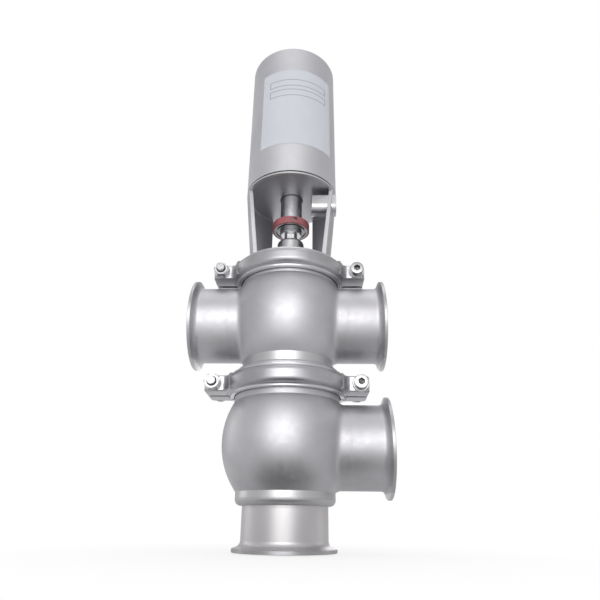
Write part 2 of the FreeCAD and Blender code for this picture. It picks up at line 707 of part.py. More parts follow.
def plug_spacer():
    return ring(SPACER_R, STEM_END_R, LOWER_PLUG_TOP, UPPER_PLUG_FOOT)


def plug_washer():
    return washer(STEM_WASHER_R, STEM_END_R, LOWER_PLUG_FOOT - STEM_WASHER_T, LOWER_PLUG_FOOT)


def plug_nut():
    top = LOWER_PLUG_FOOT - STEM_WASHER_T
    return nut(STEM_NUT_AF, STEM_END_R, top - STEM_NUT_H, top)


def valve_stem():
    """Stem from the plug nut to its threaded end in the actuator rod, with spanner flats below the rod."""
    foot = LOWER_PLUG_FOOT - STEM_WASHER_T - STEM_NUT_H - STEM_TIP
    shape = turned([
        (0, foot), (STEM_END_R - EDGE_BREAK, foot), (STEM_END_R, foot + EDGE_BREAK),
        (STEM_END_R, UPPER_PLUG_TOP), (STEM_R, UPPER_PLUG_TOP), (STEM_R, ROD_END_Z), (STEM_END_R, ROD_END_Z),
        (STEM_END_R, ROD_END_Z + STEM_IN_ROD), (0, ROD_END_Z + STEM_IN_ROD),
    ])
    top = ROD_END_Z - STEM_FLATS_GAP
    for side in (-1, 1):
        near = side * STEM_FLATS_AF / 2
        far = side * 2 * STEM_R
        low_y = min(near, far)
        high_y = max(near, far)
        shape = shape.cut(block((-2 * STEM_R, low_y, top - STEM_FLATS_H), (2 * STEM_R, high_y, top)))
    return shape


# Yoke and sensor bush

def yoke_radius(z, inset):
    """Radius of the yoke's wall at a height."""
    return YOKE_R - inset - (YOKE_PLATE_Z - z) * YOKE_TAPER


def yoke():
    """Tapered shell with a clamped foot ring and a top plate, open at the front and with a window at the back."""
    rim_top = YOKE_FOOT_Z + YOKE_RIM
    taper_top = rim_top + (FLANGE_R - HUB_R) * TAPER_RISE
    shape = turned([
        (yoke_radius(YOKE_FOOT_Z, YOKE_WALL), YOKE_FOOT_Z), (FLANGE_R, YOKE_FOOT_Z), (FLANGE_R, rim_top),
        (HUB_R, taper_top), (yoke_radius(taper_top, 0), taper_top, YOKE_FOOT_FILLET), (YOKE_R, YOKE_PLATE_Z),
        (YOKE_R, YOKE_TOP_Z), (YOKE_SPIGOT_R, YOKE_TOP_Z), (YOKE_SPIGOT_R, YOKE_TOP_Z + YOKE_SPIGOT_H),
        (ROD_HOLE_R, YOKE_TOP_Z + YOKE_SPIGOT_H), (ROD_HOLE_R, YOKE_PLATE_Z),
        (YOKE_R - YOKE_WALL, YOKE_PLATE_Z, BAND_FILLET),
    ])
    reach = 2 * YOKE_R
    front = block((-reach, -reach, taper_top), (reach, -YOKE_FRONT_Y, YOKE_PLATE_Z))
    window = block((-YOKE_WINDOW_HALF, 0, taper_top), (YOKE_WINDOW_HALF, reach, YOKE_PLATE_Z))
    shape = shape.cut(front).cut(window)
    shape = shape.cut(sensor_boss_blank())
    for x, y in base_screw_places():
        shape = shape.cut(bar(M6_R, V(x, y, YOKE_PLATE_Z + M6_FLOOR), V(x, y, YOKE_TOP_Z + YOKE_SPIGOT_H)))
    return shape


def sensor_boss_blank():
    """Bar with rounded lower corners through the right-hand leg, from beside the indicator to outside the wall."""
    axis_y = SENSOR_BEHIND_FRONT - YOKE_FRONT_Y
    near_y = axis_y - SENSOR_BOSS_HALF
    far_y = axis_y + SENSOR_BOSS_HALF
    foot = SENSOR_Z - SENSOR_BOSS_HALF
    top = SENSOR_Z + SENSOR_BOSS_HALF
    start = BAND_R + SENSOR_GAP
    length = yoke_radius(SENSOR_Z, 0) + SENSOR_BOSS_PROUD - start
    corners = [
        (near_y, foot, SENSOR_BOSS_CORNER), (far_y, foot, SENSOR_BOSS_CORNER), (far_y, top, SENSOR_BOSS_EDGE),
        (near_y, top, SENSOR_BOSS_EDGE),
    ]
    return outline_edges(corners, lambda p: V(start, p.x, p.y)).extrude(V(length, 0, 0))


def sensor_boss():
    """The bar with its inner end rounded and a threaded hole that faces the indicator."""
    blank = sensor_boss_blank()
    start = blank.BoundBox.XMin
    rims = [e for e in blank.Edges if e.BoundBox.XMax < start + NEAR]
    axis_y = SENSOR_BEHIND_FRONT - YOKE_FRONT_Y
    hole = bar(SENSOR_HOLE_R, V(start, axis_y, SENSOR_Z), V(blank.BoundBox.XMax, axis_y, SENSOR_Z))
    return blank.makeFillet(SENSOR_BOSS_EDGE - NEAR, rims).cut(hole)


# Actuator: lower cover, cylinder and upper cover

def base_screw_places():
    """Centres of the four screws that hold the lower cover on the yoke."""
    turns = [math.radians(45 + 90 * k) for k in range(4)]
    return [(BASE_SCREW_CIRCLE_R * math.cos(t), BASE_SCREW_CIRCLE_R * math.sin(t)) for t in turns]


def actuator_base():
    """Lower cover: lip under the tube, groove, bush and seal pockets, screw holes and the air passage."""
    groove_z = YOKE_TOP_Z + BASE_O_RING_UP
    shape = turned([
        (ROD_HOLE_R, YOKE_TOP_Z + YOKE_SPIGOT_H), (YOKE_SPIGOT_R, YOKE_TOP_Z + YOKE_SPIGOT_H),
        (YOKE_SPIGOT_R, YOKE_TOP_Z), (BASE_LIP_R, YOKE_TOP_Z), (BASE_LIP_R, YOKE_TOP_Z + BASE_LIP_T),
        (COVER_R, YOKE_TOP_Z + BASE_LIP_T), (COVER_R, groove_z), (COVER_R - O_RING_DEPTH, groove_z),
        (COVER_R - O_RING_DEPTH, groove_z + O_RING_D), (COVER_R, groove_z + O_RING_D),
        (COVER_R, BASE_TOP_Z), (ROD_SEAL_R, BASE_TOP_Z), (ROD_SEAL_R, BASE_TOP_Z - ROD_SEAL_H),
        (ROD_BUSH_R, BASE_TOP_Z - ROD_SEAL_H), (ROD_BUSH_R, BASE_TOP_Z - ROD_SEAL_H - ROD_BUSH_H),
        (ROD_HOLE_R, BASE_TOP_Z - ROD_SEAL_H - ROD_BUSH_H),
    ])
    sink = BASE_TOP_Z - M6_HEAD_H - M6_COUNTERBORE_GAP
    for x, y in base_screw_places():
        shape = shape.cut(bar(M6_HOLE_R, V(x, y, YOKE_TOP_Z), V(x, y, BASE_TOP_Z)))
        shape = shape.cut(bar(M6_HEAD_R + M6_COUNTERBORE_GAP, V(x, y, sink), V(x, y, BASE_TOP_Z)))
    port_z = YOKE_TOP_Z + AIR_PORT_UP
    shape = shape.cut(bar(AIR_PASSAGE_R, V(0, AIR_PASSAGE_Y, port_z), V(0, ACTUATOR_R, port_z)))
    return shape.cut(bar(AIR_PASSAGE_R, V(0, AIR_PASSAGE_Y, port_z), V(0, AIR_PASSAGE_Y, BASE_TOP_Z)))


def rod_bush():
    top = BASE_TOP_Z - ROD_SEAL_H
    return ring(ROD_BUSH_R, ROD_R + RUNNING_GAP, top - ROD_BUSH_H, top)


def rod_seal():
    return ring(ROD_SEAL_R, ROD_R + SEAL_GAP, BASE_TOP_Z - ROD_SEAL_H, BASE_TOP_Z)


def cover_o_ring(groove_z):
    """Square-drawn seal in a cover's groove, against the cylinder bore."""
    return ring(ACTUATOR_BORE_R, COVER_R - O_RING_DEPTH, groove_z, groove_z + O_RING_D)


def base_screws():
    """Four M6 socket screws from inside the cylinder into the yoke plate."""
    sink = BASE_TOP_Z - M6_HEAD_H - M6_COUNTERBORE_GAP
    length = sink - YOKE_PLATE_Z - M6_FLOOR - EDGE_BREAK
    screw = socket_screw(M6_R, M6_HEAD_R, M6_HEAD_H, M6_HEX_SOCKET, M6_SOCKET_DEPTH, length)
    return Part.makeCompound([stem_axis_to(V(0, 0, -1), V(x, y, sink), screw) for x, y in base_screw_places()])


def actuator_tube():
    """Cylinder with the retaining ring's groove near its top and a hole for the air connection."""
    foot = YOKE_TOP_Z + BASE_LIP_T
    groove_r = ACTUATOR_BORE_R + CIRCLIP_DEPTH
    shape = turned([
        (ACTUATOR_BORE_R, foot), (ACTUATOR_R, foot), (ACTUATOR_R, TUBE_TOP_Z, EDGE_BREAK),
        (ACTUATOR_BORE_R, TUBE_TOP_Z, EDGE_BREAK), (ACTUATOR_BORE_R, CAP_TOP_Z + CIRCLIP_T),
        (groove_r, CAP_TOP_Z + CIRCLIP_T), (groove_r, CAP_TOP_Z), (ACTUATOR_BORE_R, CAP_TOP_Z),
    ])
    port_z = YOKE_TOP_Z + AIR_PORT_UP
    return shape.cut(bar(AIR_PORT_HOLE_R, V(0, 0, port_z), V(0, ACTUATOR_R, port_z)))


def air_port_bush():
    """Threaded bush welded on the back of the cylinder."""
    port_z = YOKE_TOP_Z + AIR_PORT_UP
    length = AIR_PORT_FACE_Y
    body = turned([(AIR_PORT_HOLE_R, 0), (AIR_PORT_R, 0), (AIR_PORT_R, length, EDGE_BREAK), (AIR_PORT_HOLE_R, length)])
    body = stem_axis_to(V(0, 1, 0), V(0, 0, port_z), body)
    return body.cut(rod(ACTUATOR_R, port_z - 2 * AIR_PORT_R, port_z + 2 * AIR_PORT_R))


def actuator_cap():
    """Upper cover with its seal groove and a vent hole."""
    groove_z = CAP_Z + (CAP_H - O_RING_D) / 2
    return turned([
        (CAP_VENT_R, CAP_Z), (COVER_R, CAP_Z), (COVER_R, groove_z), (COVER_R - O_RING_DEPTH, groove_z),
        (COVER_R - O_RING_DEPTH, groove_z + O_RING_D), (COVER_R, groove_z + O_RING_D), (COVER_R, CAP_TOP_Z),
        (CAP_VENT_R + CAP_CHAMFER, CAP_TOP_Z), (CAP_VENT_R, CAP_TOP_Z - CAP_CHAMFER),
    ])


def cap_retaining_ring():
    """Open spring ring in the groove of the cylinder."""
    outer = ACTUATOR_BORE_R + CIRCLIP_DEPTH
    shape = ring(outer, outer - CIRCLIP_W, CAP_TOP_Z, CAP_TOP_Z + CIRCLIP_T)
    half = CIRCLIP_OPENING / 2
    return shape.cut(block((-half, 0, CAP_TOP_Z), (half, ACTUATOR_R, CAP_TOP_Z + CIRCLIP_T)))


def return_spring():
    """Helical spring with its ends ground flat, between the piston and the upper seat."""
    pitch = (SPRING_SEAT_Z - PISTON_TOP_Z) / SPRING_TURNS
    helix = Part.makeHelix(pitch, SPRING_SEAT_Z - PISTON_TOP_Z, SPRING_R)
    start = V(SPRING_R, 0, 0)
    profile = Part.Wire(Part.makeCircle(SPRING_WIRE_R, start, V(0, 1, 0)))
    coil = Part.Wire(helix).makePipeShell([profile], True, True)
    coil.translate(V(0, 0, PISTON_TOP_Z))
    return coil.common(ring(SPRING_R + 2 * SPRING_WIRE_R, SPRING_R - 2 * SPRING_WIRE_R, PISTON_TOP_Z, SPRING_SEAT_Z))


def spring_seat():
    """Flanged ring that centres the spring under the upper cover."""
    collar_r = SPRING_R - SPRING_WIRE_R - SEAL_GAP
    inner = SPRING_R - SPRING_SEAT_HALF_W
    outer = SPRING_R + SPRING_SEAT_HALF_W
    return turned([
        (inner, CAP_Z), (inner, SPRING_SEAT_Z - SPRING_COLLAR_H), (collar_r, SPRING_SEAT_Z - SPRING_COLLAR_H),
        (collar_r, SPRING_SEAT_Z), (outer, SPRING_SEAT_Z), (outer, CAP_Z),
    ])


# Piston, rod and indicator

def piston_groove_z(order):
    """Foot of the piston's first or second groove."""
    return PISTON_Z + PISTON_RING_H / 2 + order * (PISTON_H - 2 * PISTON_RING_H)


def piston():
    """Piston with a groove for its seal and one for its wear ring."""
    shape = ring(PISTON_R, ROD_TOP_R, PISTON_Z, PISTON_TOP_Z)
    for order in (0, 1):
        foot = piston_groove_z(order)
        shape = shape.cut(ring(ACTUATOR_R, PISTON_R - PISTON_RING_DEPTH, foot, foot + PISTON_RING_H))
    return shape


def piston_ring(order):
    """Seal or wear ring in one of the piston's grooves."""
    foot = piston_groove_z(order)
    return ring(ACTUATOR_BORE_R - SEAL_GAP, PISTON_R - PISTON_RING_DEPTH, foot, foot + PISTON_RING_H)


def piston_washer():
    return washer(PISTON_WASHER_R, ROD_TOP_R, PISTON_TOP_Z, PISTON_TOP_Z + PISTON_WASHER_T)


def piston_nut():
    foot = PISTON_TOP_Z + PISTON_WASHER_T
    return nut(PISTON_NUT_AF, ROD_TOP_R, foot, foot + PISTON_NUT_H)


def piston_rod():
    """Ground rod, bored and threaded for the stem at its lower end and stepped for the piston at its upper end."""
    tip = PISTON_TOP_Z + PISTON_WASHER_T + PISTON_NUT_H + PISTON_THREAD_TIP
    return turned([
        (STEM_END_R, ROD_END_Z), (ROD_R - ROD_CHAMFER, ROD_END_Z), (ROD_R, ROD_END_Z + ROD_CHAMFER),
        (ROD_R, PISTON_Z), (ROD_TOP_R, PISTON_Z), (ROD_TOP_R, tip - EDGE_BREAK), (ROD_TOP_R - EDGE_BREAK, tip),
        (0, tip), (0, ROD_END_Z + STEM_IN_ROD), (STEM_END_R, ROD_END_Z + STEM_IN_ROD),
    ])


def indicator_disc():
    """Disc on the rod, hollowed from below behind its rim."""
    shape = ring(DISC_R, ROD_R, DISC_Z, DISC_Z + DISC_H)
    return shape.cut(ring(DISC_R - DISC_RIM, ROD_R + DISC_LAND, DISC_Z, DISC_Z + DISC_HOLLOW))


def indicator_ring():
    """Split plastic band round the disc, with a small square window at the split."""
    shape = ring(BAND_R, DISC_R, DISC_Z, DISC_Z + DISC_H)
    top = DISC_Z + DISC_H
    split = block((BAND_SPLIT_X, -BAND_R, DISC_Z), (BAND_SPLIT_X + BAND_SPLIT, 0, top))
    window = block((BAND_SPLIT_X, -BAND_R, top - BAND_NOTCH_DROP - BAND_NOTCH_H),
                   (BAND_SPLIT_X + BAND_NOTCH_W, 0, top - BAND_NOTCH_DROP))
    return shape.cut(split).cut(window)


def build():
    """Every node with its shape."""
    cap_groove_z = CAP_Z + (CAP_H - O_RING_D) / 2
    base_groove_z = YOKE_TOP_Z + BASE_O_RING_UP
    nodes = {
        "bottom_ferrule": ferrule(LOWER_BODY_FOOT),
        "lower_body": lower_body(),
        "lower_side_ferrule": side_ferrule(1, LOWER_PORT_Z),
        "upper_body": upper_body(),
        "upper_left_ferrule": side_ferrule(-1, UPPER_PORT_Z),
        "upper_right_ferrule": side_ferrule(1, UPPER_PORT_Z),
        "mid_seat_ring": mid_seat_ring(),
        "lower_joint_gasket": ring(FLANGE_R, NECK_R, LOWER_BODY_TOP, SEAT_RIM_Z),
        "upper_joint_gasket": ring(FLANGE_R, NECK_R, SEAT_RIM_Z + SEAT_RIM, UPPER_BODY_FOOT),
        "bonnet_gasket": ring(FLANGE_R, NECK_R, UPPER_BODY_TOP, BONNET_RIM_Z),
        "bonnet": bonnet(),
        "stem_bush": stem_bush(),
        "stem_seal": stem_seal(),
        "stem_wiper": stem_wiper(),
        "yoke": yoke(),
        "sensor_boss": sensor_boss(),
        "actuator_base": actuator_base(),
        "base_o_ring": cover_o_ring(base_groove_z),
        "rod_bush": rod_bush(),
        "rod_seal": rod_seal(),
        "base_screws": base_screws(),
        "actuator_tube": actuator_tube(),
        "air_port_bush": air_port_bush(),
        "actuator_cap": actuator_cap(),
        "cap_o_ring": cover_o_ring(cap_groove_z),
        "cap_retaining_ring": cap_retaining_ring(),
        "spring_seat": spring_seat(),
        "return_spring": return_spring(),
        "valve_stem": valve_stem(),
        "lower_plug": plug(LOWER_PLUG_FOOT, False),
        "lower_plug_seal": plug_seal(LOWER_PLUG_FOOT, False),
        "upper_plug": plug(UPPER_PLUG_FOOT, True),
        "upper_plug_seal": plug_seal(UPPER_PLUG_FOOT, True),
        "plug_spacer": plug_spacer(),
        "plug_washer": plug_washer(),
        "plug_nut": plug_nut(),
        "piston_rod": piston_rod(),
        "piston": piston(),
        "piston_seal": piston_ring(0),
        "piston_wear_ring": piston_ring(1),
        "piston_washer": piston_washer(),
        "piston_nut": piston_nut(),
        "indicator_disc": indicator_disc(),
        "indicator_ring": indicator_ring(),
    }
    for place, height in (("lower", LOWER_CLAMP_Z), ("upper", UPPER_CLAMP_Z)):
        nodes[place + "_clamp_front"] = clamp_half(height, False)
        nodes[place + "_clamp_rear"] = clamp_half(height, True)
        nodes[place + "_clamp_bolts"] = clamp_bolts(height)
        nodes[place + "_clamp_nuts"] = clamp_nuts(height)
        nodes[place + "_clamp_washers"] = clamp_washers(height)
    return nodes


os.makedirs("parts", exist_ok=True)
for name, shape in build().items():
    shape.exportStep("parts/" + name + ".step")
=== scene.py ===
import math

import bmesh
import bpy
from mathutils import Matrix, Vector


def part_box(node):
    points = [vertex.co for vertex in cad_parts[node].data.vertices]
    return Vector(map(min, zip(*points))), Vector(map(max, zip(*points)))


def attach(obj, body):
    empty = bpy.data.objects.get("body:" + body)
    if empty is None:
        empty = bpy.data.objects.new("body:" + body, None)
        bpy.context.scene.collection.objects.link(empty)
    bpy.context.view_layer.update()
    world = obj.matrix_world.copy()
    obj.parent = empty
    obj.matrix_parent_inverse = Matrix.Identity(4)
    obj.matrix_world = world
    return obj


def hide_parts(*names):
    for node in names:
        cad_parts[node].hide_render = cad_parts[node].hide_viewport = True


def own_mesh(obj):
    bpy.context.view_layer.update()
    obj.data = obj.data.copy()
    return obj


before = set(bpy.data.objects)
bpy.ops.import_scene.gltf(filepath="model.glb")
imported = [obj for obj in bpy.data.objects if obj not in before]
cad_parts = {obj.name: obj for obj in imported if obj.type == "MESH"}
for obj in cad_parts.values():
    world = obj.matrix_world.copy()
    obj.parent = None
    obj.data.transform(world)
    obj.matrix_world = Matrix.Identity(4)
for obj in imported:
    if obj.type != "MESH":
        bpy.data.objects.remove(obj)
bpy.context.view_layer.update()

# Camera
# It stands low in front of the valve, a little to its right, and looks up at it with a wide lens,
# so that the actuator leans away at the top of the picture.
CAMERA_PLACE = (0.02321, -0.47719, 0.02295)
CAMERA_YAW = math.radians(-1.463)
CAMERA_PITCH = math.radians(24.107)
CAMERA_ROLL = math.radians(0.659)
CAMERA_LENS = 29.93
CAMERA_SENSOR = 36
CAMERA_NEAR = 0.01

view_line = Vector((
    math.sin(CAMERA_YAW) * math.cos(CAMERA_PITCH),
    math.cos(CAMERA_YAW) * math.cos(CAMERA_PITCH),
    math.sin(CAMERA_PITCH),
))
level = Vector((math.cos(CAMERA_YAW), -math.sin(CAMERA_YAW), 0))
upward = level.cross(view_line)
right = level * math.cos(CAMERA_ROLL) + upward * math.sin(CAMERA_ROLL)
top = upward * math.cos(CAMERA_ROLL) - level * math.sin(CAMERA_ROLL)
camera_data = bpy.data.cameras.new("camera")
camera_data.lens = CAMERA_LENS
camera_data.sensor_width = CAMERA_SENSOR
camera_data.clip_start = CAMERA_NEAR
camera = bpy.data.objects.new("camera", camera_data)
bpy.context.scene.collection.objects.link(camera)
camera_turn = Matrix((right, top, -view_line)).transposed().to_4x4()
camera.matrix_world = Matrix.Translation(CAMERA_PLACE) @ camera_turn
bpy.context.scene.camera = camera
bpy.context.scene.view_settings.view_transform = "Standard"


# Floor and backdrop
# A wide white table carries the valve, and the sky round it is the same white. A grey tent, a grey
# table cover and a dark sheet in front, which only gloss shows, give the metal its tones. The cover is
# painted darker near the valve as the valve's shadow, and the dark sheet is the painted shadow of the camera.
COOL_TINT = 1.015
FLOOR_HALF = 4.0
FLOOR_WHITE = (0.90, 0.90, 0.90, 1)
FLOOR_ROUGHNESS = 0.9
FLOOR_DROP = 0.0008
FLOOR_SHADE_R = 0.05
FLOOR_WHITE_R = 0.30
FLOOR_SHADE = 0.24
STUDIO_LEVEL = 0.62
TENT_R = 3.2
TENT_MIDDLE = (0, 0, 0.25)
TENT_TONES = ((0.0, 0.20), (0.22, 0.22), (0.36, 0.40), (0.5, 0.60), (0.64, 0.66), (0.82, 0.60), (1.0, 0.58))
TENT_BACK = (0.50, 0.50, 0.50, 1)
TENT_BLEND_SHARES = (0.1, 0.9)
TENT_SIDE_SHARES = (0.1, 0.8)
TENT_CENTRE_STRENGTH = 1.20
TENT_SIDE_STRENGTH = 0.80
COVER_DROP = 0.0006
COVER_HALF = 2.4
COVER_STRENGTH = 1.25
COVER_SIDES = 0.66
COVER_SIDES_X = (0.10, 0.70)
COVER_SHADOW_TONES = ((0.0, 0.38), (0.12, 0.45), (0.30, 0.58), (0.55, 0.82), (1.0, 0.90))
CAMERA_SHADOW_DROP = 0.0004
CAMERA_SHADOW_SIZE = 0.18
CAMERA_SHADOW_PLACE_Y = -0.148
CAMERA_SHADOW_TONES = ((0.0, 0.04), (0.1, 0.12))


def select_only(piece):
    """Leaves one object selected and active."""
    bpy.ops.object.select_all(action="DESELECT")
    piece.select_set(True)
    bpy.context.view_layer.objects.active = piece


def new_material(name):
    """Material with its node tree and its Principled shader."""
    material = bpy.data.materials.new(name)
    material.use_nodes = True
    tree = material.node_tree
    return material, tree, tree.nodes["Principled BSDF"]


def add_node(tree, kind, **settings):
    """Adds a node and sets its properties, or its inputs where the name is that of an input."""
    node = tree.nodes.new(kind)
    for name, value in settings.items():
        if name in node.bl_rna.properties:
            setattr(node, name, value)
        else:
            node.inputs[name].default_value = value
    return node


def calculate(tree, operation, first, second=0.0):
    """Result of a Math node on two sockets or numbers."""
    node = add_node(tree, "ShaderNodeMath", operation=operation)
    for slot, value in enumerate((first, second)):
        if isinstance(value, (int, float)):
            node.inputs[slot].default_value = value
        else:
            tree.links.new(value, node.inputs[slot])
    return node.outputs[0]


def spread(tree, value, from_min, from_max, to_min, to_max, kind="LINEAR"):
    """Result of a Map Range node."""
    node = add_node(tree, "ShaderNodeMapRange", interpolation_type=kind)
    tree.links.new(value, node.inputs["Value"])
    limits = {"From Min": from_min, "From Max": from_max, "To Min": to_min, "To Max": to_max}
    for name, number in limits.items():
        node.inputs[name].default_value = number
    return node.outputs[0]


def distance(tree, across, along):
    """Distance from the stem axis, of two coordinates."""
    squares = [calculate(tree, "POWER", calculate(tree, "ABSOLUTE", part), 2.0) for part in (across, along)]
    return calculate(tree, "SQRT", calculate(tree, "ADD", *squares))


def object_axes(tree):
    """Object coordinates, whole and as three sockets."""
    place = add_node(tree, "ShaderNodeTexCoord").outputs["Object"]
    parts = add_node(tree, "ShaderNodeSeparateXYZ")
    tree.links.new(place, parts.inputs[0])
    return place, parts.outputs[0], parts.outputs[1], parts.outputs[2]


def grey_ramp(tree, value, tones):
    """Colour ramp of cool greys, given as pairs of position and tone."""
    ramp = add_node(tree, "ShaderNodeValToRGB")
    steps = ramp.color_ramp.elements
    while len(steps) < len(tones):
        steps.new(0.5)
    for step, (position, tone) in zip(steps, tones):
        step.position = position
        step.color = (tone, tone, tone * COOL_TINT, 1)
    tree.links.new(value, ramp.inputs["Fac"])
    return ramp.outputs["Color"]


def seen_directly(tree):
    """Socket that is 1 for camera, glossy and transmission rays."""
    path = add_node(tree, "ShaderNodeLightPath").outputs
    mirrored = calculate(tree, "MAXIMUM", path["Is Glossy Ray"], path["Is Transmission Ray"])
    return calculate(tree, "MAXIMUM", path["Is Camera Ray"], mirrored)


def mix_shaders(tree, share, first, second):
    """Mix Shader node between two shader sockets."""
    node = add_node(tree, "ShaderNodeMixShader")
    for socket, source in zip(node.inputs, (share, first, second)):
        tree.links.new(source, socket)
    return node.outputs[0]


def only_in_gloss(stage_piece, tree, shader, colour, strength=None):
    """Makes a studio flag of a stage piece: it glows in a colour, and only glossy rays meet it."""
    glow = add_node(tree, "ShaderNodeEmission")
    tree.links.new(colour, glow.inputs["Color"])
    if strength:
        tree.links.new(strength, glow.inputs["Strength"])
    tree.links.new(glow.outputs[0], tree.nodes["Material Output"].inputs["Surface"])
    tree.nodes.remove(shader)
    for kind in ("camera", "diffuse", "transmission", "shadow", "volume_scatter"):
        setattr(stage_piece, "visible_" + kind, False)


bpy.ops.object.select_all(action="DESELECT")
bpy.ops.mesh.primitive_plane_add(size=2 * FLOOR_HALF, location=(0, 0, -FLOOR_DROP))
floor = bpy.context.object
floor.name = "floor"
material, tree, shader = new_material("white_table")
shader.inputs["Base Color"].default_value = FLOOR_WHITE
shader.inputs["Roughness"].default_value = FLOOR_ROUGHNESS
_, across, along, _ = object_axes(tree)
away = distance(tree, across, along)
white_share = spread(tree, away, FLOOR_SHADE_R, FLOOR_WHITE_R, 1 - FLOOR_SHADE, 1.0, "SMOOTHSTEP")
glow = add_node(tree, "ShaderNodeEmission", Strength=1.0)
share = calculate(tree, "MULTIPLY", seen_directly(tree), white_share)
surface = mix_shaders(tree, share, shader.outputs[0], glow.outputs[0])
tree.links.new(surface, tree.nodes["Material Output"].inputs["Surface"])
floor.data.materials.append(material)

bpy.ops.object.select_all(action="DESELECT")
bpy.ops.mesh.primitive_plane_add(size=2 * COVER_HALF, location=(0, 0, -COVER_DROP))
cover = bpy.context.object
cover.name = "table_cover_and_painted_shadow"
material, tree, shader = new_material("table_cover_and_painted_shadow")
_, across, along, _ = object_axes(tree)
away = distance(tree, across, along)
sideways = calculate(tree, "ABSOLUTE", across)
# Painted shadow: the cover is darker near the valve, where the valve's shadow falls on the table.
only_in_gloss(cover, tree, shader, grey_ramp(tree, away, COVER_SHADOW_TONES),
              spread(tree, sideways, *COVER_SIDES_X, COVER_STRENGTH, COVER_SIDES))
cover.data.materials.append(material)

# Painted shadow: a dark sheet in front of the valve, seen only in gloss, for the camera's shadow on the
# table.
bpy.ops.object.select_all(action="DESELECT")
bpy.ops.mesh.primitive_plane_add(size=CAMERA_SHADOW_SIZE, location=(0, CAMERA_SHADOW_PLACE_Y, -CAMERA_SHADOW_DROP))
camera_shadow_sheet = bpy.context.object
camera_shadow_sheet.name = "painted_camera_shadow"
material, tree, shader = new_material("painted_camera_shadow")
_, across, along, _ = object_axes(tree)
sideways = calculate(tree, "ABSOLUTE", across)
only_in_gloss(camera_shadow_sheet, tree, shader, grey_ramp(tree, sideways, CAMERA_SHADOW_TONES))
camera_shadow_sheet.data.materials.append(material)

bpy.ops.object.select_all(action="DESELECT")
bpy.ops.mesh.primitive_uv_sphere_add(segments=48, ring_count=24, radius=TENT_R, location=TENT_MIDDLE)
tent = bpy.context.object
tent.name = "grey_tent"
material, tree, shader = new_material("grey_tent")
_, across, along, height = object_axes(tree)
front_tone = grey_ramp(tree, spread(tree, height, -TENT_R, TENT_R, 0.0, 1.0), TENT_TONES)
blend = add_node(tree, "ShaderNodeMix", data_type="RGBA")
blend_start, blend_end = [part * TENT_R for part in TENT_BLEND_SHARES]
tree.links.new(spread(tree, along, blend_start, blend_end, 0.0, 1.0, "SMOOTHSTEP"), blend.inputs[0])
tree.links.new(front_tone, blend.inputs[6])
blend.inputs[7].default_value = TENT_BACK
sideways = calculate(tree, "ABSOLUTE", across)
side_start, side_end = [part * TENT_R for part in TENT_SIDE_SHARES]
only_in_gloss(tent, tree, shader, blend.outputs[2],
              spread(tree, sideways, side_start, side_end, TENT_CENTRE_STRENGTH, TENT_SIDE_STRENGTH))
tent.data.materials.append(material)

world = bpy.data.worlds.new("studio")
bpy.context.scene.world = world
world.use_nodes = True
tree = world.node_tree
tree.nodes.clear()
studio = add_node(tree, "ShaderNodeBackground", Color=(1, 1, 1, 1), Strength=STUDIO_LEVEL)
white = add_node(tree, "ShaderNodeBackground", Color=(1, 1, 1, 1), Strength=1.0)
surface = add_node(tree, "ShaderNodeOutputWorld").inputs["Surface"]
tree.links.new(mix_shaders(tree, seen_directly(tree), studio.outputs[0], white.outputs[0]), surface)


# Lamps
# A wide softbox behind the camera makes the broad highlight in the middle of each chamber,
# and weaker ones at the sides, above and behind draw the rims.
VALVE_MIDDLE = Vector((0, 0, 0.26))
LAMPS = (
    ("front_softbox", (-0.08, -1.60, 0.34), (1.30, 1.25), 14.0),
    ("left_strip", (-1.50, 0.45, 0.50), (0.40, 1.20), 2.2),
    ("right_strip", (1.50, 0.45, 0.50), (0.40, 1.20), 1.2),
    ("back_softbox", (0.20, 1.70, 0.70), (1.20, 0.90), 5.0),
    ("ceiling_softbox", (0.0, -0.10, 1.90), (1.00, 1.00), 4.0),
)

for name, spot, size, watts in LAMPS:
    lamp_data = bpy.data.lights.new(name, "AREA")
    lamp_data.shape = "RECTANGLE"
    lamp_data.size, lamp_data.size_y = size
    lamp_data.energy = watts
    lamp = bpy.data.objects.new(name, lamp_data)
    lamp.location = spot
    lamp.rotation_euler = (VALVE_MIDDLE - Vector(spot)).to_track_quat("-Z", "Y").to_euler()
    bpy.context.scene.collection.objects.link(lamp)


# Chambers and ferrules
# Drawn and welded stainless steel. It is bead blasted after welding, which leaves an even satin with
# faint clouds, a fine grain and warmer weld lines, and the flange rims and bands are turned brighter.
CLOUD_EDGES = (0.35, 0.65)
PATCH_SHARE = 0.12
PATCH_EDGES = (0.3, 0.7)
FAR = 1.0
STEEL = (0.64, 0.635, 0.655, 1)
STEEL_CLOUD = (0.56, 0.55, 0.57, 1)
STEEL_TURNED = (0.68, 0.675, 0.68, 1)
STEEL_RIM = (0.48, 0.476, 0.486, 1)
STEEL_GROUND = (0.68, 0.662, 0.670, 1)
GROUND_Z = (0.0035, 0.0362)
STEEL_WELD = (0.55, 0.54, 0.53, 1)
COLLAR_WELD_X = 0.056
BOTTOM_WELD_Z = 0.0365
WELD_HALF = 0.0012
WELD_RISE = 0.00006
WELD_SHARE = 0.25
TURNED_SHARE = 0.8
FLANGE_FACE_X = 0.0944
FLANGE_RIM = 0.0029
HUB_R = (0.0498, 0.0505)
CLAMP_MIDDLES = (0.142, 0.259)
CLAMP_HALF_H = 0.0103
GAP_SHADE = (0.12, 0.118, 0.12, 1)
TURNED_BANDS_Z = ((0.0425, 0.0475), (0.1585, 0.1665))


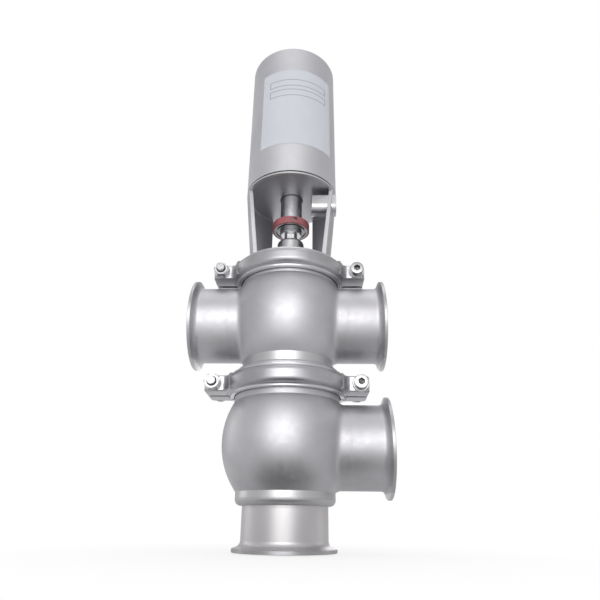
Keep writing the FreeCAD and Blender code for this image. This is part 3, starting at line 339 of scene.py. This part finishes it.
def cloudy_colour(tree, shader, place, light, dark, cloud_size):
    """Base colour that drifts between two tones in clouds of about a size."""
    clouds = add_node(tree, "ShaderNodeTexNoise", Scale=1 / cloud_size, Detail=4.0, Roughness=0.6)
    tones = add_node(tree, "ShaderNodeValToRGB")
    for step, position, colour in zip(tones.color_ramp.elements, CLOUD_EDGES, (dark, light)):
        step.position = position
        step.color = colour
    tree.links.new(place, clouds.inputs["Vector"])
    tree.links.new(clouds.outputs[0], tones.inputs["Fac"])
    tree.links.new(tones.outputs["Color"], shader.inputs["Base Color"])


def add_bump(tree, shader, height, depth):
    """Lays a bump over whatever bump the shader already has."""
    bump = add_node(tree, "ShaderNodeBump", Strength=1.0, Distance=depth)
    tree.links.new(height, bump.inputs["Height"])
    if shader.inputs["Normal"].links:
        tree.links.new(shader.inputs["Normal"].links[0].from_socket, bump.inputs["Normal"])
    tree.links.new(bump.outputs[0], shader.inputs["Normal"])


def grained_surface(tree, shader, place, grain_size, grain_depth, smoothest, roughest):
    """Roughness that varies in patches, and a fine grain."""
    patches = add_node(tree, "ShaderNodeTexNoise", Scale=PATCH_SHARE / grain_size, Detail=5.0, Roughness=0.65)
    grain = add_node(tree, "ShaderNodeTexNoise", Scale=1 / grain_size, Detail=2.0)
    tree.links.new(place, patches.inputs["Vector"])
    tree.links.new(place, grain.inputs["Vector"])
    roughness = spread(tree, patches.outputs[0], *PATCH_EDGES, smoothest, roughest)
    tree.links.new(roughness, shader.inputs["Roughness"])
    add_bump(tree, shader, grain.outputs[0], grain_depth)


def finish(name, light, dark, cloud_size, grain_size, grain_depth, smoothest, roughest, metallic=1):
    """Material with a drifting tone, patches of gloss and a grain."""
    material, tree, shader = new_material(name)
    shader.inputs["Metallic"].default_value = metallic
    place, x, y, z = object_axes(tree)
    cloudy_colour(tree, shader, place, light, dark, cloud_size)
    grained_surface(tree, shader, place, grain_size, grain_depth, smoothest, roughest)
    return material, tree, shader, (x, y, z)


def between(tree, value, low, high, fade=0.0001):
    """Socket that is 1 where a value lies between two limits."""
    rise = spread(tree, value, low - fade, low, 0.0, 1.0)
    fall = spread(tree, value, high, high + fade, 1.0, 0.0)
    return calculate(tree, "MULTIPLY", rise, fall)


def give_zone(tree, shader, zone, colour, roughness):
    """Gives one zone of a surface its own tone and gloss."""
    for name, kind, inputs, output, value in (
        ("Base Color", "RGBA", (6, 7), 2, colour), ("Roughness", "FLOAT", (2, 3), 0, roughness),
    ):
        blend = add_node(tree, "ShaderNodeMix", data_type=kind)
        tree.links.new(zone, blend.inputs[0])
        tree.links.new(shader.inputs[name].links[0].from_socket, blend.inputs[inputs[0]])
        blend.inputs[inputs[1]].default_value = value
        tree.links.new(blend.outputs[output], shader.inputs[name])


def turned_marks(tree, shader, along, spacing, depth):
    """Fine rings of a turning or grinding tool along an axis."""
    marks = add_node(tree, "ShaderNodeTexNoise", noise_dimensions="1D", Scale=1 / spacing, Detail=2.0)
    tree.links.new(along, marks.inputs["W"])
    add_bump(tree, shader, marks.outputs[0], depth)


def paint(material, *names):
    """Gives a material to CAD nodes."""
    for name in names:
        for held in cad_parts[name].material_slots:
            held.material = material


blasted_steel, tree, shader, (x, y, z) = finish(
    "blasted_steel", STEEL, STEEL_CLOUD,
    cloud_size=0.05, grain_size=0.0006, grain_depth=0.000012, smoothest=0.46, roughest=0.56)
sideways = calculate(tree, "ABSOLUTE", x)
weld = calculate(tree, "MAXIMUM",
                 between(tree, sideways, COLLAR_WELD_X - WELD_HALF, COLLAR_WELD_X + WELD_HALF, WELD_HALF),
                 between(tree, z, BOTTOM_WELD_Z - WELD_HALF, BOTTOM_WELD_Z + WELD_HALF, WELD_HALF))
give_zone(tree, shader, calculate(tree, "MULTIPLY", weld, WELD_SHARE), STEEL_WELD, roughness=0.5)
add_bump(tree, shader, weld, WELD_RISE)
rims = calculate(tree, "MAXIMUM", between(tree, sideways, FLANGE_FACE_X - FLANGE_RIM, FAR),
                 between(tree, z, -FAR, FLANGE_RIM))
give_zone(tree, shader, calculate(tree, "MULTIPLY", rims, TURNED_SHARE), STEEL_RIM, roughness=0.36)
turned = calculate(tree, "MAXIMUM", *[between(tree, z, low, high) for low, high in TURNED_BANDS_Z])
give_zone(tree, shader, calculate(tree, "MULTIPLY", turned, TURNED_SHARE), STEEL_TURNED, roughness=0.38)
give_zone(tree, shader, between(tree, z, *GROUND_Z), STEEL_GROUND, roughness=0.46)
# Painted shade: inside each clamp, the wall of the hub on the chambers is darkened where the clamp lip shades
# it.
hub_wall = between(tree, distance(tree, x, y), *HUB_R)
for middle_z in CLAMP_MIDDLES:
    in_clamp = between(tree, z, middle_z - CLAMP_HALF_H, middle_z + CLAMP_HALF_H)
    gap = calculate(tree, "MULTIPLY", hub_wall, in_clamp)
    give_zone(tree, shader, gap, GAP_SHADE, roughness=0.7)
paint(blasted_steel, "lower_body", "upper_body", "bottom_ferrule", "lower_side_ferrule",
      "upper_left_ferrule", "upper_right_ferrule")


# Clamp halves
# Cast stainless steel, blasted to a duller grey than the chambers. The lug faces are ground and
# polished bright for the washers, and the lips that grip the flanges are turned.
CAST = (0.56, 0.555, 0.575, 1)
CAST_CLOUD = (0.46, 0.455, 0.475, 1)
LUG_POLISH = (0.66, 0.66, 0.67, 1)
LUG_FACE_Y = (0.0208, 0.0213)
LUG_START_X = 0.0600
LUG_FADE = 0.001
CLAMP_BORE_R = 0.0511
CLAMP_LIP_R = 0.0550
LIP_TURNED = (0.72, 0.715, 0.73, 1)
CREVICE_SHADE = (0.10, 0.098, 0.10, 1)
CORNER_Y = (0.0302, 0.0306)
CORNER_X = (0.0470, 0.0535)
CORNER_SHADE = (0.38, 0.378, 0.39, 1)

clamp_casting, tree, shader, (x, y, z) = finish(
    "clamp_casting", CAST, CAST_CLOUD,
    cloud_size=0.03, grain_size=0.0009, grain_depth=0.00003, smoothest=0.36, roughest=0.46)
sideways = calculate(tree, "ABSOLUTE", x)
outward = calculate(tree, "ABSOLUTE", y)
lug_face = calculate(tree, "MULTIPLY", between(tree, sideways, LUG_START_X, FAR, LUG_FADE),
                     between(tree, outward, *LUG_FACE_Y))
give_zone(tree, shader, lug_face, LUG_POLISH, roughness=0.34)
from_axis = distance(tree, x, y)
give_zone(tree, shader, between(tree, from_axis, CLAMP_BORE_R, CLAMP_LIP_R), LIP_TURNED, roughness=0.36)
# Painted shade: the bore of each clamp half is made dark, as the shade inside the clamp.
give_zone(tree, shader, between(tree, from_axis, -FAR, CLAMP_BORE_R), CREVICE_SHADE, roughness=0.7)
# Painted shade: the corner where each lug meets the ring is darkened and dulled.
lug_corner_shade = calculate(tree, "MULTIPLY", between(tree, sideways, *CORNER_X),
                       between(tree, outward, *CORNER_Y))
give_zone(tree, shader, lug_corner_shade, CORNER_SHADE, roughness=0.8)
paint(clamp_casting, "lower_clamp_front", "lower_clamp_rear", "upper_clamp_front", "upper_clamp_rear")


# Clamp screws, nuts and washers
# M8 stainless steel. Each clamp has one socket head screw from the front at the right and one from
# the rear at the left, with rolled threads, and a hexagon nut and two washers on each.
FASTENER = (0.54, 0.54, 0.55, 1)
FASTENER_CLOUD = (0.44, 0.44, 0.45, 1)
THREAD_GAP_SHADE = (0.07, 0.068, 0.065, 1)
SOCKET_SHADE = (0.19, 0.187, 0.182, 1)
SCREW_R = 0.004
SCREW_ROOT_R = 0.0034
SCREW_PITCH = 0.00125
SCREW_LENGTH = 0.055
SCREW_THREAD = 0.024
SCREW_TIP = 0.0006
HEAD_R = 0.0065
HEAD_H = 0.008
HEAD_EDGE = 0.0006
SOCKET_HALF = 0.003
SOCKET_DEPTH = 0.0045
SOCKET_POINT = 0.0012
SOCKET_FLOOR_INSET = 0.12
SOCKET_POINT_SHARE = 0.08
SCREW_SIDES = 48
THREAD_STEPS = 8
BOLT_X = 0.069
BOLT_SEAT_Y = 0.0226
SOCKET_SHADE_R = 0.0036
SOCKET_MOUTH = 0.0005
THREAD_GAP_R = 0.0046
THREAD_FADE = 0.0003
NEAR = 0.000001
WALL_NEAR = 0.00001
FACING = 0.9
UPRIGHT_LEAN = 0.001
SMOOTH_ANGLE = 0.5


def choose(piece, kind, test):
    """In edit mode, selects only the vertices, edges or faces of a piece that pass a test."""
    bpy.ops.mesh.select_mode(type={"verts": "VERT", "edges": "EDGE", "faces": "FACE"}[kind])
    bpy.ops.mesh.select_all(action="DESELECT")
    mesh = bmesh.from_edit_mesh(piece.data)
    for item in getattr(mesh, kind):
        if test(item):
            item.select_set(True)
    bmesh.update_edit_mesh(piece.data)


def edge_middle(edge):
    """Middle point of an edge."""
    return (edge.verts[0].co + edge.verts[1].co) / 2


def is_upright(edge):
    """True for an edge along Z."""
    along = edge.verts[1].co - edge.verts[0].co
    return math.hypot(along.x, along.y) < UPRIGHT_LEAN * abs(along.z)


def radius_of(spot):
    """Distance of a point from the Z axis."""
    return math.hypot(spot.x, spot.y)


def cut_thread(piece, low, high, near_r, deep_r, pitch):
    """Turns a plain round wall of a piece along Z into a helical thread between two heights."""
    for point in piece.data.vertices:
        spot = point.co
        radius = radius_of(spot)
        if low < spot.z < high and abs(radius - near_r) < WALL_NEAR:
            turn = (spot.z / pitch - math.atan2(spot.y, spot.x) / (2 * math.pi)) % 1
            ease = min(1, (spot.z - low) / pitch, (high - spot.z) / pitch)
            wanted = near_r + (deep_r - near_r) * abs(2 * turn - 1) * ease
            spot.x *= wanted / radius
            spot.y *= wanted / radius


def shape_socket(screw):
    """Draws the inset face in the middle of the head into a hexagon, sinks it and drills its floor."""
    mesh = bmesh.from_edit_mesh(screw.data)
    sector = math.pi / 3
    for point in [v for v in mesh.verts if v.select]:
        turn = math.atan2(point.co.y, point.co.x)
        reach = SOCKET_HALF / math.cos((turn + sector / 2) % sector - sector / 2)
        point.co.x = reach * math.cos(turn)
        point.co.y = reach * math.sin(turn)
    bmesh.update_edit_mesh(screw.data)
    bpy.ops.mesh.extrude_region_move(TRANSFORM_OT_translate={"value": (0, 0, SOCKET_DEPTH)})
    bpy.ops.mesh.inset(thickness=SOCKET_HALF * SOCKET_FLOOR_INSET)
    bpy.ops.mesh.extrude_region_move(TRANSFORM_OT_translate={"value": (0, 0, SOCKET_POINT)})
    bpy.ops.transform.resize(value=(SOCKET_POINT_SHARE, SOCKET_POINT_SHARE, 1), center_override=(0, 0, 0))


def close_mesh(piece):
    """Leaves edit mode with all faces pointing outwards and smooth shading across blunt edges."""
    bpy.ops.mesh.select_all(action="SELECT")
    bpy.ops.mesh.remove_doubles(threshold=NEAR)
    bpy.ops.mesh.normals_make_consistent(inside=False)
    bpy.ops.object.mode_set(mode="OBJECT")
    select_only(piece)
    bpy.ops.object.shade_smooth_by_angle(angle=SMOOTH_ANGLE)


def socket_screw(name):
    """Socket head screw along Z, its head below height 0."""
    bpy.ops.object.select_all(action="DESELECT")
    bpy.ops.mesh.primitive_cylinder_add(
        vertices=SCREW_SIDES, radius=HEAD_R, depth=HEAD_H, location=(0, 0, -HEAD_H / 2))
    screw = bpy.context.object
    screw.name = name
    bpy.ops.object.transform_apply(location=True, rotation=True, scale=True)
    bpy.ops.object.mode_set(mode="EDIT")
    choose(screw, "faces", lambda face: face.normal.z > FACING)
    bpy.ops.mesh.inset(thickness=HEAD_R - SCREW_R)
    thread_foot = SCREW_LENGTH - SCREW_THREAD
    for rise in (thread_foot, SCREW_THREAD - SCREW_TIP, SCREW_TIP):
        bpy.ops.mesh.extrude_region_move(TRANSFORM_OT_translate={"value": (0, 0, rise)})
    point = (SCREW_R - SCREW_TIP) / SCREW_R
    bpy.ops.transform.resize(value=(point, point, 1), center_override=(0, 0, 0))
    choose(screw, "edges", lambda edge: is_upright(edge) and edge_middle(edge).z > thread_foot)
    bpy.ops.mesh.subdivide(number_cuts=round(SCREW_THREAD / SCREW_PITCH * THREAD_STEPS))
    choose(screw, "edges", lambda edge: all(abs(v.co.z + HEAD_H) < NEAR for v in edge.verts))
    bpy.ops.mesh.bevel(offset=HEAD_EDGE, segments=3, affect="EDGES")
    choose(screw, "faces",
           lambda face: face.normal.z < -FACING and abs(face.calc_center_median().z + HEAD_H) < NEAR)
    bpy.ops.mesh.inset(thickness=HEAD_R - HEAD_EDGE - SOCKET_HALF * 2 / math.sqrt(3))
    shape_socket(screw)
    close_mesh(screw)
    cut_thread(screw, thread_foot, SCREW_LENGTH - SCREW_TIP, SCREW_R, SCREW_ROOT_R, SCREW_PITCH)
    return screw


def place_piece(piece, turn, spot):
    """Turns and moves a piece and keeps both in its mesh."""
    select_only(piece)
    piece.rotation_euler = turn
    piece.location = spot
    bpy.ops.object.transform_apply(location=True, rotation=True, scale=True)


def copy_of(piece, name):
    """Copy of a piece with its own mesh."""
    twin = piece.copy()
    twin.data = piece.data.copy()
    twin.name = name
    bpy.context.scene.collection.objects.link(twin)
    return twin


def join_pieces(first, second):
    """Joins two pieces into the first."""
    select_only(first)
    second.select_set(True)
    bpy.ops.object.join()


fastener_steel, tree, shader, (x, y, z) = finish(
    "fastener_steel", FASTENER, FASTENER_CLOUD,
    cloud_size=0.004, grain_size=0.0005, grain_depth=0.000008, smoothest=0.26, roughest=0.38)
aside = calculate(tree, "SUBTRACT", calculate(tree, "ABSOLUTE", x), BOLT_X)
low_screw, high_screw = [
    distance(tree, aside, calculate(tree, "SUBTRACT", z, middle_z)) for middle_z in CLAMP_MIDDLES]
from_screw = calculate(tree, "MINIMUM", low_screw, high_screw)
outward = calculate(tree, "ABSOLUTE", y)
socket_mouth_y = BOLT_SEAT_Y + HEAD_H - SOCKET_MOUTH
# Painted shade: the inside of each hexagon socket is darkened.
socket_shade = calculate(tree, "MULTIPLY", between(tree, from_screw, -FAR, SOCKET_SHADE_R),
                          between(tree, outward, BOLT_SEAT_Y, socket_mouth_y))
# Painted shade: a ring from the thread's root to just past its crests is darkened, in the grooves and the
# holes round them.
shaded_thread_gap = calculate(tree, "MULTIPLY", between(tree, from_screw, SCREW_ROOT_R, THREAD_GAP_R, THREAD_FADE),
                       between(tree, outward, 0.0, socket_mouth_y))
give_zone(tree, shader, shaded_thread_gap, THREAD_GAP_SHADE, roughness=0.5)
give_zone(tree, shader, socket_shade, SOCKET_SHADE, roughness=0.5)
screw = socket_screw("socket_screw")
for level_name in ("lower", "upper"):
    low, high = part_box(level_name + "_clamp_bolts")
    height = (low.z + high.z) / 2
    screws = copy_of(screw, level_name + "_clamp_screws")
    rear = copy_of(screw, level_name + "_rear_screw")
    place_piece(screws, (-math.pi / 2, 0, 0), (BOLT_X, -BOLT_SEAT_Y, height))
    place_piece(rear, (math.pi / 2, 0, 0), (-BOLT_X, BOLT_SEAT_Y, height))
    join_pieces(screws, rear)
    screws.data.materials.clear()
    screws.data.materials.append(fastener_steel)
    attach(screws, "housing")
    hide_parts(level_name + "_clamp_bolts")
bpy.data.objects.remove(screw)
paint(fastener_steel, "lower_clamp_nuts", "lower_clamp_washers", "upper_clamp_nuts", "upper_clamp_washers",
      "base_screws", "plug_washer", "plug_nut", "piston_washer", "piston_nut", "cap_retaining_ring",
      "spring_seat")


# Yoke
# One stainless steel casting with a blasted skin, open at the front and back. Its top plate is turned
# after casting, so the rim is bright, and the inside of the legs stays rougher and is painted darker as
# shade.
YOKE = (0.58, 0.58, 0.60, 1)
YOKE_CLOUD = (0.50, 0.50, 0.52, 1)
YOKE_TURNED = (0.80, 0.80, 0.80, 1)
YOKE_INSIDE_SHADE = (0.46, 0.455, 0.475, 1)
PLATE_FOOT_Z = 0.3614
PLATE_RIM_R = 0.0504
INSIDE_R = 0.0478
LEG_TAPER = 0.093

yoke_casting, tree, shader, (x, y, z) = finish(
    "yoke_casting", YOKE, YOKE_CLOUD,
    cloud_size=0.04, grain_size=0.0008, grain_depth=0.00002, smoothest=0.36, roughest=0.48)
from_axis = distance(tree, x, y)
# Painted shade: the inner faces of the legs are darker, as the shade inside the yoke.
tapered_away = calculate(tree, "MULTIPLY", calculate(tree, "SUBTRACT", PLATE_FOOT_Z, z), LEG_TAPER)
inside = between(tree, calculate(tree, "ADD", from_axis, tapered_away), -FAR, INSIDE_R)
give_zone(tree, shader, inside, YOKE_INSIDE_SHADE, roughness=0.44)
plate_rim = calculate(tree, "MULTIPLY", between(tree, z, PLATE_FOOT_Z, FAR),
                      between(tree, from_axis, PLATE_RIM_R, FAR))
give_zone(tree, shader, plate_rim, YOKE_TURNED, roughness=0.26)
paint(yoke_casting, "yoke")


# Bonnet and middle seat
# Turned from bar and drawn plate. The boss round the stem shows above the clamp, with the fine rings
# of the lathe tool on it.
BONNET_STEEL = (0.62, 0.62, 0.63, 1)
BONNET_CLOUD = (0.55, 0.55, 0.56, 1)

turned_steel, tree, shader, (x, y, z) = finish(
    "turned_steel", BONNET_STEEL, BONNET_CLOUD,
    cloud_size=0.02, grain_size=0.0006, grain_depth=0.000008, smoothest=0.26, roughest=0.36)
turned_marks(tree, shader, z, spacing=0.0004, depth=0.000012)
paint(turned_steel, "bonnet", "mid_seat_ring")


# Sensor boss
# A milled stainless steel bar, welded through the right-hand leg, with an M12 fine thread for the
# proximity sensor. The thread is a separate sleeve, let into the hole.
SENSOR_THREAD_PITCH = 0.001
SENSOR_CORE_R = 0.0055
SENSOR_SLEEVE_R = 0.0060
SENSOR_THREAD_DEPTH = 0.00025
SLEEVE_INSET = 0.0008
BOSS_OUTSIDE_X = 0.0485
BOSS_FADE = 0.0005
MILLED = (0.64, 0.64, 0.65, 1)
MILLED_CLOUD = (0.60, 0.60, 0.61, 1)


def threaded_sleeve(name, core_r, outer_r, length, depth, pitch):
    """Open sleeve along Z from height 0, threaded inside."""
    bpy.ops.object.select_all(action="DESELECT")
    bpy.ops.mesh.primitive_cylinder_add(
        vertices=SCREW_SIDES, radius=outer_r, depth=length, location=(0, 0, length / 2))
    sleeve = bpy.context.object
    sleeve.name = name
    bpy.ops.object.transform_apply(location=True, rotation=True, scale=True)
    bpy.ops.object.mode_set(mode="EDIT")
    choose(sleeve, "faces", lambda face: abs(face.normal.z) > FACING)
    bpy.ops.mesh.inset(thickness=outer_r - core_r, use_individual=True)
    choose(sleeve, "faces", lambda face: abs(face.normal.z) > FACING and len(face.verts) == SCREW_SIDES)
    bpy.ops.mesh.bridge_edge_loops()
    wall_middle_r = (core_r + outer_r) / 2
    choose(sleeve, "edges", lambda edge: is_upright(edge) and radius_of(edge_middle(edge)) < wall_middle_r)
    bpy.ops.mesh.subdivide(number_cuts=round(length / pitch * THREAD_STEPS))
    close_mesh(sleeve)
    cut_thread(sleeve, 0, length, core_r, core_r - depth, pitch)
    return sleeve


milled_steel, tree, shader, (x, y, z) = finish(
    "milled_steel", MILLED, MILLED_CLOUD,
    cloud_size=0.02, grain_size=0.0008, grain_depth=0.000004, smoothest=0.28, roughest=0.34)
give_zone(tree, shader, between(tree, x, BOSS_OUTSIDE_X, FAR, BOSS_FADE), YOKE, roughness=0.55)
paint(milled_steel, "sensor_boss")
low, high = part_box("sensor_boss")
middle = (low + high) / 2
sensor_thread = threaded_sleeve(
    "sensor_thread", SENSOR_CORE_R, SENSOR_SLEEVE_R, high.x - low.x - 2 * SLEEVE_INSET,
    SENSOR_THREAD_DEPTH, SENSOR_THREAD_PITCH)
place_piece(sensor_thread, (0, math.pi / 2, 0), (low.x + SLEEVE_INSET, middle.y, middle.z))
sensor_thread.data.materials.append(milled_steel)
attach(sensor_thread, "housing")


# Actuator cylinder
# A length of stainless steel tube with a fine satin skin, closed by turned covers. The air connection
# is a threaded bush welded low on its back.
TUBE = (0.66, 0.66, 0.685, 1)
TUBE_CLOUD = (0.61, 0.61, 0.635, 1)
JOINT_Z = (0.3630, 0.3650)
JOINT_SHADE = (0.035, 0.033, 0.036, 1)
AIR_CORE_R = 0.0043
AIR_SLEEVE_R = 0.0048
AIR_THREAD_DEPTH = 0.0002
AIR_THREAD_PITCH = 0.0009
AIR_THREAD_LENGTH = 0.0085

actuator_skin, tree, shader, (x, y, z) = finish(
    "actuator_skin", TUBE, TUBE_CLOUD,
    cloud_size=0.06, grain_size=0.0005, grain_depth=0.00001, smoothest=0.56, roughest=0.64)
turned_marks(tree, shader, z, spacing=0.0007, depth=0.000006)
paint(actuator_skin, "actuator_tube", "actuator_cap", "air_port_bush")

cover_metal, tree, shader, (x, y, z) = finish(
    "base_cover_metal", TUBE, TUBE_CLOUD,
    cloud_size=0.03, grain_size=0.0006, grain_depth=0.00001, smoothest=0.40, roughest=0.50)
# Painted shade: a dark band where the base cover's rim meets the tube, as the shade in that recess.
give_zone(tree, shader, between(tree, z, *JOINT_Z), JOINT_SHADE, roughness=0.7)
paint(cover_metal, "actuator_base")

low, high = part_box("air_port_bush")
middle = (low + high) / 2
air_thread = threaded_sleeve(
    "air_port_thread", AIR_CORE_R, AIR_SLEEVE_R, AIR_THREAD_LENGTH, AIR_THREAD_DEPTH, AIR_THREAD_PITCH)
place_piece(air_thread, (math.pi / 2, 0, 0), (middle.x, high.y - SLEEVE_INSET, middle.z))
air_thread.data.materials.append(fastener_steel)
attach(air_thread, "housing")


# Label on the cylinder
# A pale film with square corners, stuck round the front of the tube, a little to its right.
# It is bare, with only two empty ruled boxes.
LABEL_FOOT_Z = 0.4014
LABEL_TOP_Z = 0.5116
LABEL_LEFT = math.radians(-41.3)
LABEL_RIGHT = math.radians(59.3)
LABEL_R = 0.05088
LABEL_T = 0.0003
LABEL_STEPS = 48
FILM = (0.565, 0.58, 0.63, 1)
FILM_CLOUD = (0.54, 0.555, 0.605, 1)
INK = (0.16, 0.18, 0.24, 1)
RULE_W = 0.0007
RULE_FADE = RULE_W / 4
RULED_BOXES = ((0.4915, 0.0095), (0.4765, 0.0095))
RULED_LEFT = -0.0265
RULED_RIGHT = 0.0435

bpy.ops.object.select_all(action="DESELECT")
label_h = LABEL_TOP_Z - LABEL_FOOT_Z
bpy.ops.mesh.primitive_plane_add(
    size=label_h, rotation=(math.pi / 2, 0, 0),
    location=(-label_h / 2, -LABEL_R, (LABEL_FOOT_Z + LABEL_TOP_Z) / 2))
label = bpy.context.object
label.name = "actuator_label"
bpy.ops.object.transform_apply(location=True, rotation=True, scale=True)
bpy.ops.object.mode_set(mode="EDIT")
choose(label, "verts", lambda point: point.co.x < -label_h / 2)
bpy.ops.mesh.delete(type="VERT")
bpy.ops.mesh.select_all(action="SELECT")
bpy.ops.transform.rotate(value=-LABEL_LEFT, orient_axis="Z", center_override=(0, 0, 0))
bpy.ops.mesh.spin(steps=LABEL_STEPS, angle=LABEL_RIGHT - LABEL_LEFT, center=(0, 0, 0), axis=(0, 0, -1))
bpy.ops.object.mode_set(mode="OBJECT")
select_only(label)
wall = label.modifiers.new("film", "SOLIDIFY")
wall.thickness = LABEL_T
wall.offset = 0
bpy.ops.object.modifier_apply(modifier=wall.name)
bpy.ops.object.mode_set(mode="EDIT")
close_mesh(label)

label_film, tree, shader, (x, y, z) = finish(
    "label_film", FILM, FILM_CLOUD,
    cloud_size=0.05, grain_size=0.0015, grain_depth=0.00001, smoothest=0.34, roughest=0.44, metallic=0)
turn = calculate(tree, "ARCTAN2", x, calculate(tree, "MULTIPLY", y, -1.0))
round_tube = calculate(tree, "MULTIPLY", turn, LABEL_R)
for middle_z, box_h in RULED_BOXES:
    foot_z = middle_z - box_h / 2
    top_z = middle_z + box_h / 2
    outside = calculate(tree, "MULTIPLY", between(tree, round_tube, RULED_LEFT, RULED_RIGHT, RULE_FADE),
                        between(tree, z, foot_z, top_z, RULE_FADE))
    inside = calculate(tree, "MULTIPLY",
                       between(tree, round_tube, RULED_LEFT + RULE_W, RULED_RIGHT - RULE_W, RULE_FADE),
                       between(tree, z, foot_z + RULE_W, top_z - RULE_W, RULE_FADE))
    ruled = calculate(tree, "MULTIPLY", outside, calculate(tree, "SUBTRACT", 1.0, inside))
    give_zone(tree, shader, ruled, INK, roughness=0.5)
label.data.materials.append(label_film)
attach(label, "housing")


# Stem, rod and indicator disc
# Ground and polished stainless steel bars, and the plugs on the stem are finished in the same way.
# The disc between rod and stem is turned, with a satin rim and underside.
POLISHED = (0.80, 0.80, 0.81, 1)
POLISHED_CLOUD = (0.74, 0.74, 0.755, 1)
DISC = (0.40, 0.40, 0.41, 1)
DISC_CLOUD = (0.34, 0.34, 0.35, 1)

polished_steel, tree, shader, (x, y, z) = finish(
    "polished_steel", POLISHED, POLISHED_CLOUD,
    cloud_size=0.02, grain_size=0.0008, grain_depth=0.000005, smoothest=0.26, roughest=0.34)
turned_marks(tree, shader, z, spacing=0.0006, depth=0.00006)
paint(polished_steel, "valve_stem", "piston_rod", "plug_spacer", "lower_plug", "upper_plug")

disc_steel, tree, shader, (x, y, z) = finish(
    "disc_steel", DISC, DISC_CLOUD,
    cloud_size=0.01, grain_size=0.0006, grain_depth=0.00001, smoothest=0.30, roughest=0.40)
paint(disc_steel, "indicator_disc")


# Indicator ring
# A split band of moulded red plastic, faded in patches. It is sprung open and pressed on the rim
# of the disc.
RED = (0.27, 0.085, 0.100, 1)
RED_FADED = (0.36, 0.115, 0.120, 1)

red_plastic, tree, shader, (x, y, z) = finish(
    "red_plastic", RED_FADED, RED,
    cloud_size=0.02, grain_size=0.0006, grain_depth=0.00001, smoothest=0.36, roughest=0.50, metallic=0)
paint(red_plastic, "indicator_ring")


# Return spring
# Six turns of round spring wire with both ends ground flat, between the piston and the upper seat.
WIRE_R = 0.003
WIRE_SIDES = 20
SPRING_TURNS = 6
TURN_STEPS = 48
SPRING_WIRE = (0.34, 0.34, 0.36, 1)
SPRING_WIRE_DARK = (0.24, 0.24, 0.26, 1)

low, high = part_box("return_spring")
spring_h = high.z - low.z
coil_r = (high.y - low.y) / 2 - WIRE_R
bpy.ops.object.select_all(action="DESELECT")
bpy.ops.mesh.primitive_circle_add(
    vertices=WIRE_SIDES, radius=WIRE_R, rotation=(math.pi / 2, 0, 0), location=(coil_r, 0, low.z))
spring = bpy.context.object
spring.name = "piston_spring"
bpy.ops.object.transform_apply(location=True, rotation=True, scale=True)
coil = spring.modifiers.new("coil", "SCREW")
coil.axis = "Z"
coil.angle = 2 * math.pi
coil.iterations = SPRING_TURNS
coil.screw_offset = spring_h / SPRING_TURNS
coil.steps = coil.render_steps = TURN_STEPS
coil.use_merge_vertices = False
bpy.ops.object.modifier_apply(modifier=coil.name)
bpy.ops.object.mode_set(mode="EDIT")
bpy.ops.mesh.select_all(action="SELECT")
bpy.ops.mesh.remove_doubles(threshold=NEAR)
bpy.ops.mesh.fill_holes(sides=0)
for cut_z, outside in ((low.z, -1), (high.z, 1)):
    bpy.ops.mesh.select_all(action="SELECT")
    bpy.ops.mesh.bisect(
        plane_co=(0, 0, cut_z), plane_no=(0, 0, outside), use_fill=True, clear_outer=True)
close_mesh(spring)
spring_wire, tree, shader, (x, y, z) = finish(
    "spring_wire", SPRING_WIRE, SPRING_WIRE_DARK,
    cloud_size=0.008, grain_size=0.0006, grain_depth=0.00001, smoothest=0.34, roughest=0.48)
spring.data.materials.append(spring_wire)
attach(spring, "housing")
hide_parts("return_spring")
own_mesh(spring)


# Pieces inside the actuator and the chambers
# The piston is turned from aluminium. The gaskets and seals are moulded black rubber, and the
# bearings of stem, rod and piston are machined from pale plastic.
ALUMINIUM = (0.66, 0.67, 0.68, 1)
ALUMINIUM_CLOUD = (0.58, 0.59, 0.60, 1)
RUBBER = (0.040, 0.040, 0.044, 1)
RUBBER_DARK = (0.026, 0.026, 0.028, 1)
BEARING = (0.80, 0.78, 0.72, 1)
BEARING_CLOUD = (0.72, 0.70, 0.64, 1)

piston_metal, tree, shader, (x, y, z) = finish(
    "piston_aluminium", ALUMINIUM, ALUMINIUM_CLOUD,
    cloud_size=0.02, grain_size=0.0006, grain_depth=0.00001, smoothest=0.30, roughest=0.42)
turned_marks(tree, shader, z, spacing=0.0006, depth=0.00002)
paint(piston_metal, "piston")

seal_rubber, tree, shader, (x, y, z) = finish(
    "seal_rubber", RUBBER, RUBBER_DARK,
    cloud_size=0.01, grain_size=0.0004, grain_depth=0.00002, smoothest=0.55, roughest=0.70, metallic=0)
paint(seal_rubber, "lower_joint_gasket", "upper_joint_gasket", "bonnet_gasket", "stem_seal", "stem_wiper",
      "base_o_ring", "cap_o_ring", "rod_seal", "piston_seal", "lower_plug_seal", "upper_plug_seal")

bearing_plastic, tree, shader, (x, y, z) = finish(
    "bearing_plastic", BEARING, BEARING_CLOUD,
    cloud_size=0.01, grain_size=0.0005, grain_depth=0.00001, smoothest=0.40, roughest=0.55, metallic=0)
paint(bearing_plastic, "stem_bush", "rod_bush", "piston_wear_ring")
